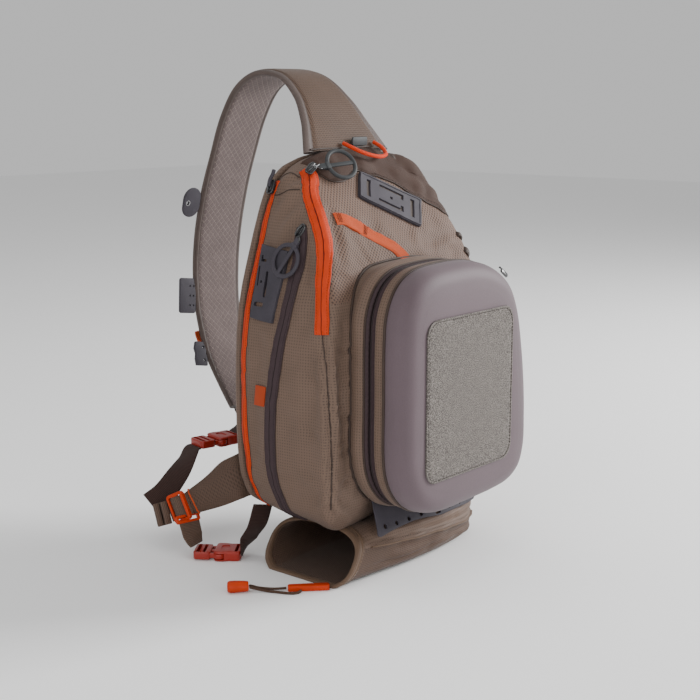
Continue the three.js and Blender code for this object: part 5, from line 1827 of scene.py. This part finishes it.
def add_side_lash():
    """The rubber lash plate on the side panel, with its slots and a dot"""
    outline = [(47, 9), (45.6, 2), (44, -10), (42, -29), (15, -25.5), (-5, -22), (-30, -18.5), (-29, -3),
               (-27, 13), (-11, 12.6), (21, 10.6)]
    wide_slot = [(20, -6), (20.6, -4.2), (20, -2.8), (-3, -1.8), (-5.6, -2.8), (-5.6, -5), (-3, -6)]
    plate = prism("side_lash", outline, -4.6, 0.5, RUBBER, 0.6)
    cut(plate,
        prism("hook_slot", box_outline(29.6, 32.2, -1, 6.6), -9, 9, RUBBER),
        prism("hook_end", box_outline(31, 36, 4.2, 6.6), -9, 9, RUBBER),
        slot_cutter(RUBBER, 20, 1.9, 0.9, 15, 7.6),
        prism("wide_slot", wide_slot, -9, 9, RUBBER),
        slot_cutter(RUBBER, 4.4, 13, 2, -13, 2.6, 4),
        hole_cutter(RUBBER, 9.6, 2.8, 1.4, 18))
    settle(plate, (-129.3, 33, 290), (0.207, 0, 0.978), (-0.985, 0.07, 0.209))
    take(plate, "slate_rubber", ["side_lash_plate"], 40)


add_side_lash()


def add_vent_flap():
    """The scalloped rubber flap under the pocket, with eyelets along its lower edge"""
    outline = [(-80, 22), (-82.5, 9), (-85, -4), (-87.8, -14.5), (-84, -16.4), (-78.8, -15.9), (-63.9, -14.4),
               (-49.2, -13.7), (-29.6, -13.3), (-10.4, -14.6), (6.1, -16.9), (18.2, -18.3), (44.9, -17.8),
               (66.7, -17.4), (78.8, -15.4), (84, -12), (85, 0), (82, 12)]
    flap = prism("vent_flap", outline, -0.9, 0.9, RUBBER, 0.5)
    for x, y in ((-73.7, -8.1), (-55.2, -9), (-35, -9.6), (-14, -9.4), (33.6, -12.4), (52.7, -12.4),
                 (71.9, -11.6)):
        cut(flap, hole_cutter(RUBBER, x, y, 2.6, 18))
    cut(flap, slot_cutter(RUBBER, 9, 5, 1.5, 13.3, -13.4))
    take(settle(flap, (11.3, -67.4, 58.9), (1, 0, 0), (0, -0.912, 0.409)), "slate_rubber", ["vent_tab"], 40)


add_vent_flap()


tab = join("pocket_pull_tab", [prism("pull_blade", rounded(13, 5.2, 2, 4), -1.1, 1.1, BLACK_PAINT, 0.7),
                               rod("pull_link", [(5, 0, 0), (8, 0, 1.4), (11, 0, 0.4)], 1.1, BLACK_PAINT)])
take(settle(tab, (129, -82, 292), (-0.75, 0, 0.66), (0.1, -1, 0.3)), "black_metal", (), 40)

toggle = add_toggle()
add_pull_cord("pull_strand", PULL_CORD_ROUTE, "pull_cord")
add_pull_cord("return_strand", RETURN_CORD_ROUTE[::-1], "pull_cord_return")


# Floor and light

def add_floor():
    bpy.ops.mesh.primitive_plane_add(size=12, location=(0, 0, 0))
    floor = bpy.context.object
    floor.name = "floor"
    material, shader = new_material("pale studio floor", 0.9)
    shader.inputs["Base Color"].default_value = srgb("F4F4F4")
    floor.data.materials.append(material)


def add_light(name, place, size, power):
    data = bpy.data.lights.new(name, "AREA")
    data.size = size
    data.energy = power
    light = bpy.data.objects.new(name, data)
    light.location = place
    light.rotation_euler = (Vector((0, 0, 0.25)) - Vector(place)).to_track_quat("-Z", "Y").to_euler()
    bpy.context.scene.collection.objects.link(light)


def add_world():
    world = bpy.data.worlds.new("studio")
    world.use_nodes = True
    background = world.node_tree.nodes["Background"]
    background.inputs["Color"].default_value = (1, 1, 1, 1)
    background.inputs["Strength"].default_value = 0.62
    bpy.context.scene.world = world


add_floor()
add_world()
add_light("key", (1.9, -1.3, 1.1), 0.9, 98)
add_light("fill", (-1.9, -0.5, 0.9), 1.2, 13)
add_light("front", (-0.7, -2.2, 0.6), 1.2, 11)
add_light("top", (0.0, 0.4, 2.2), 1.4, 9)
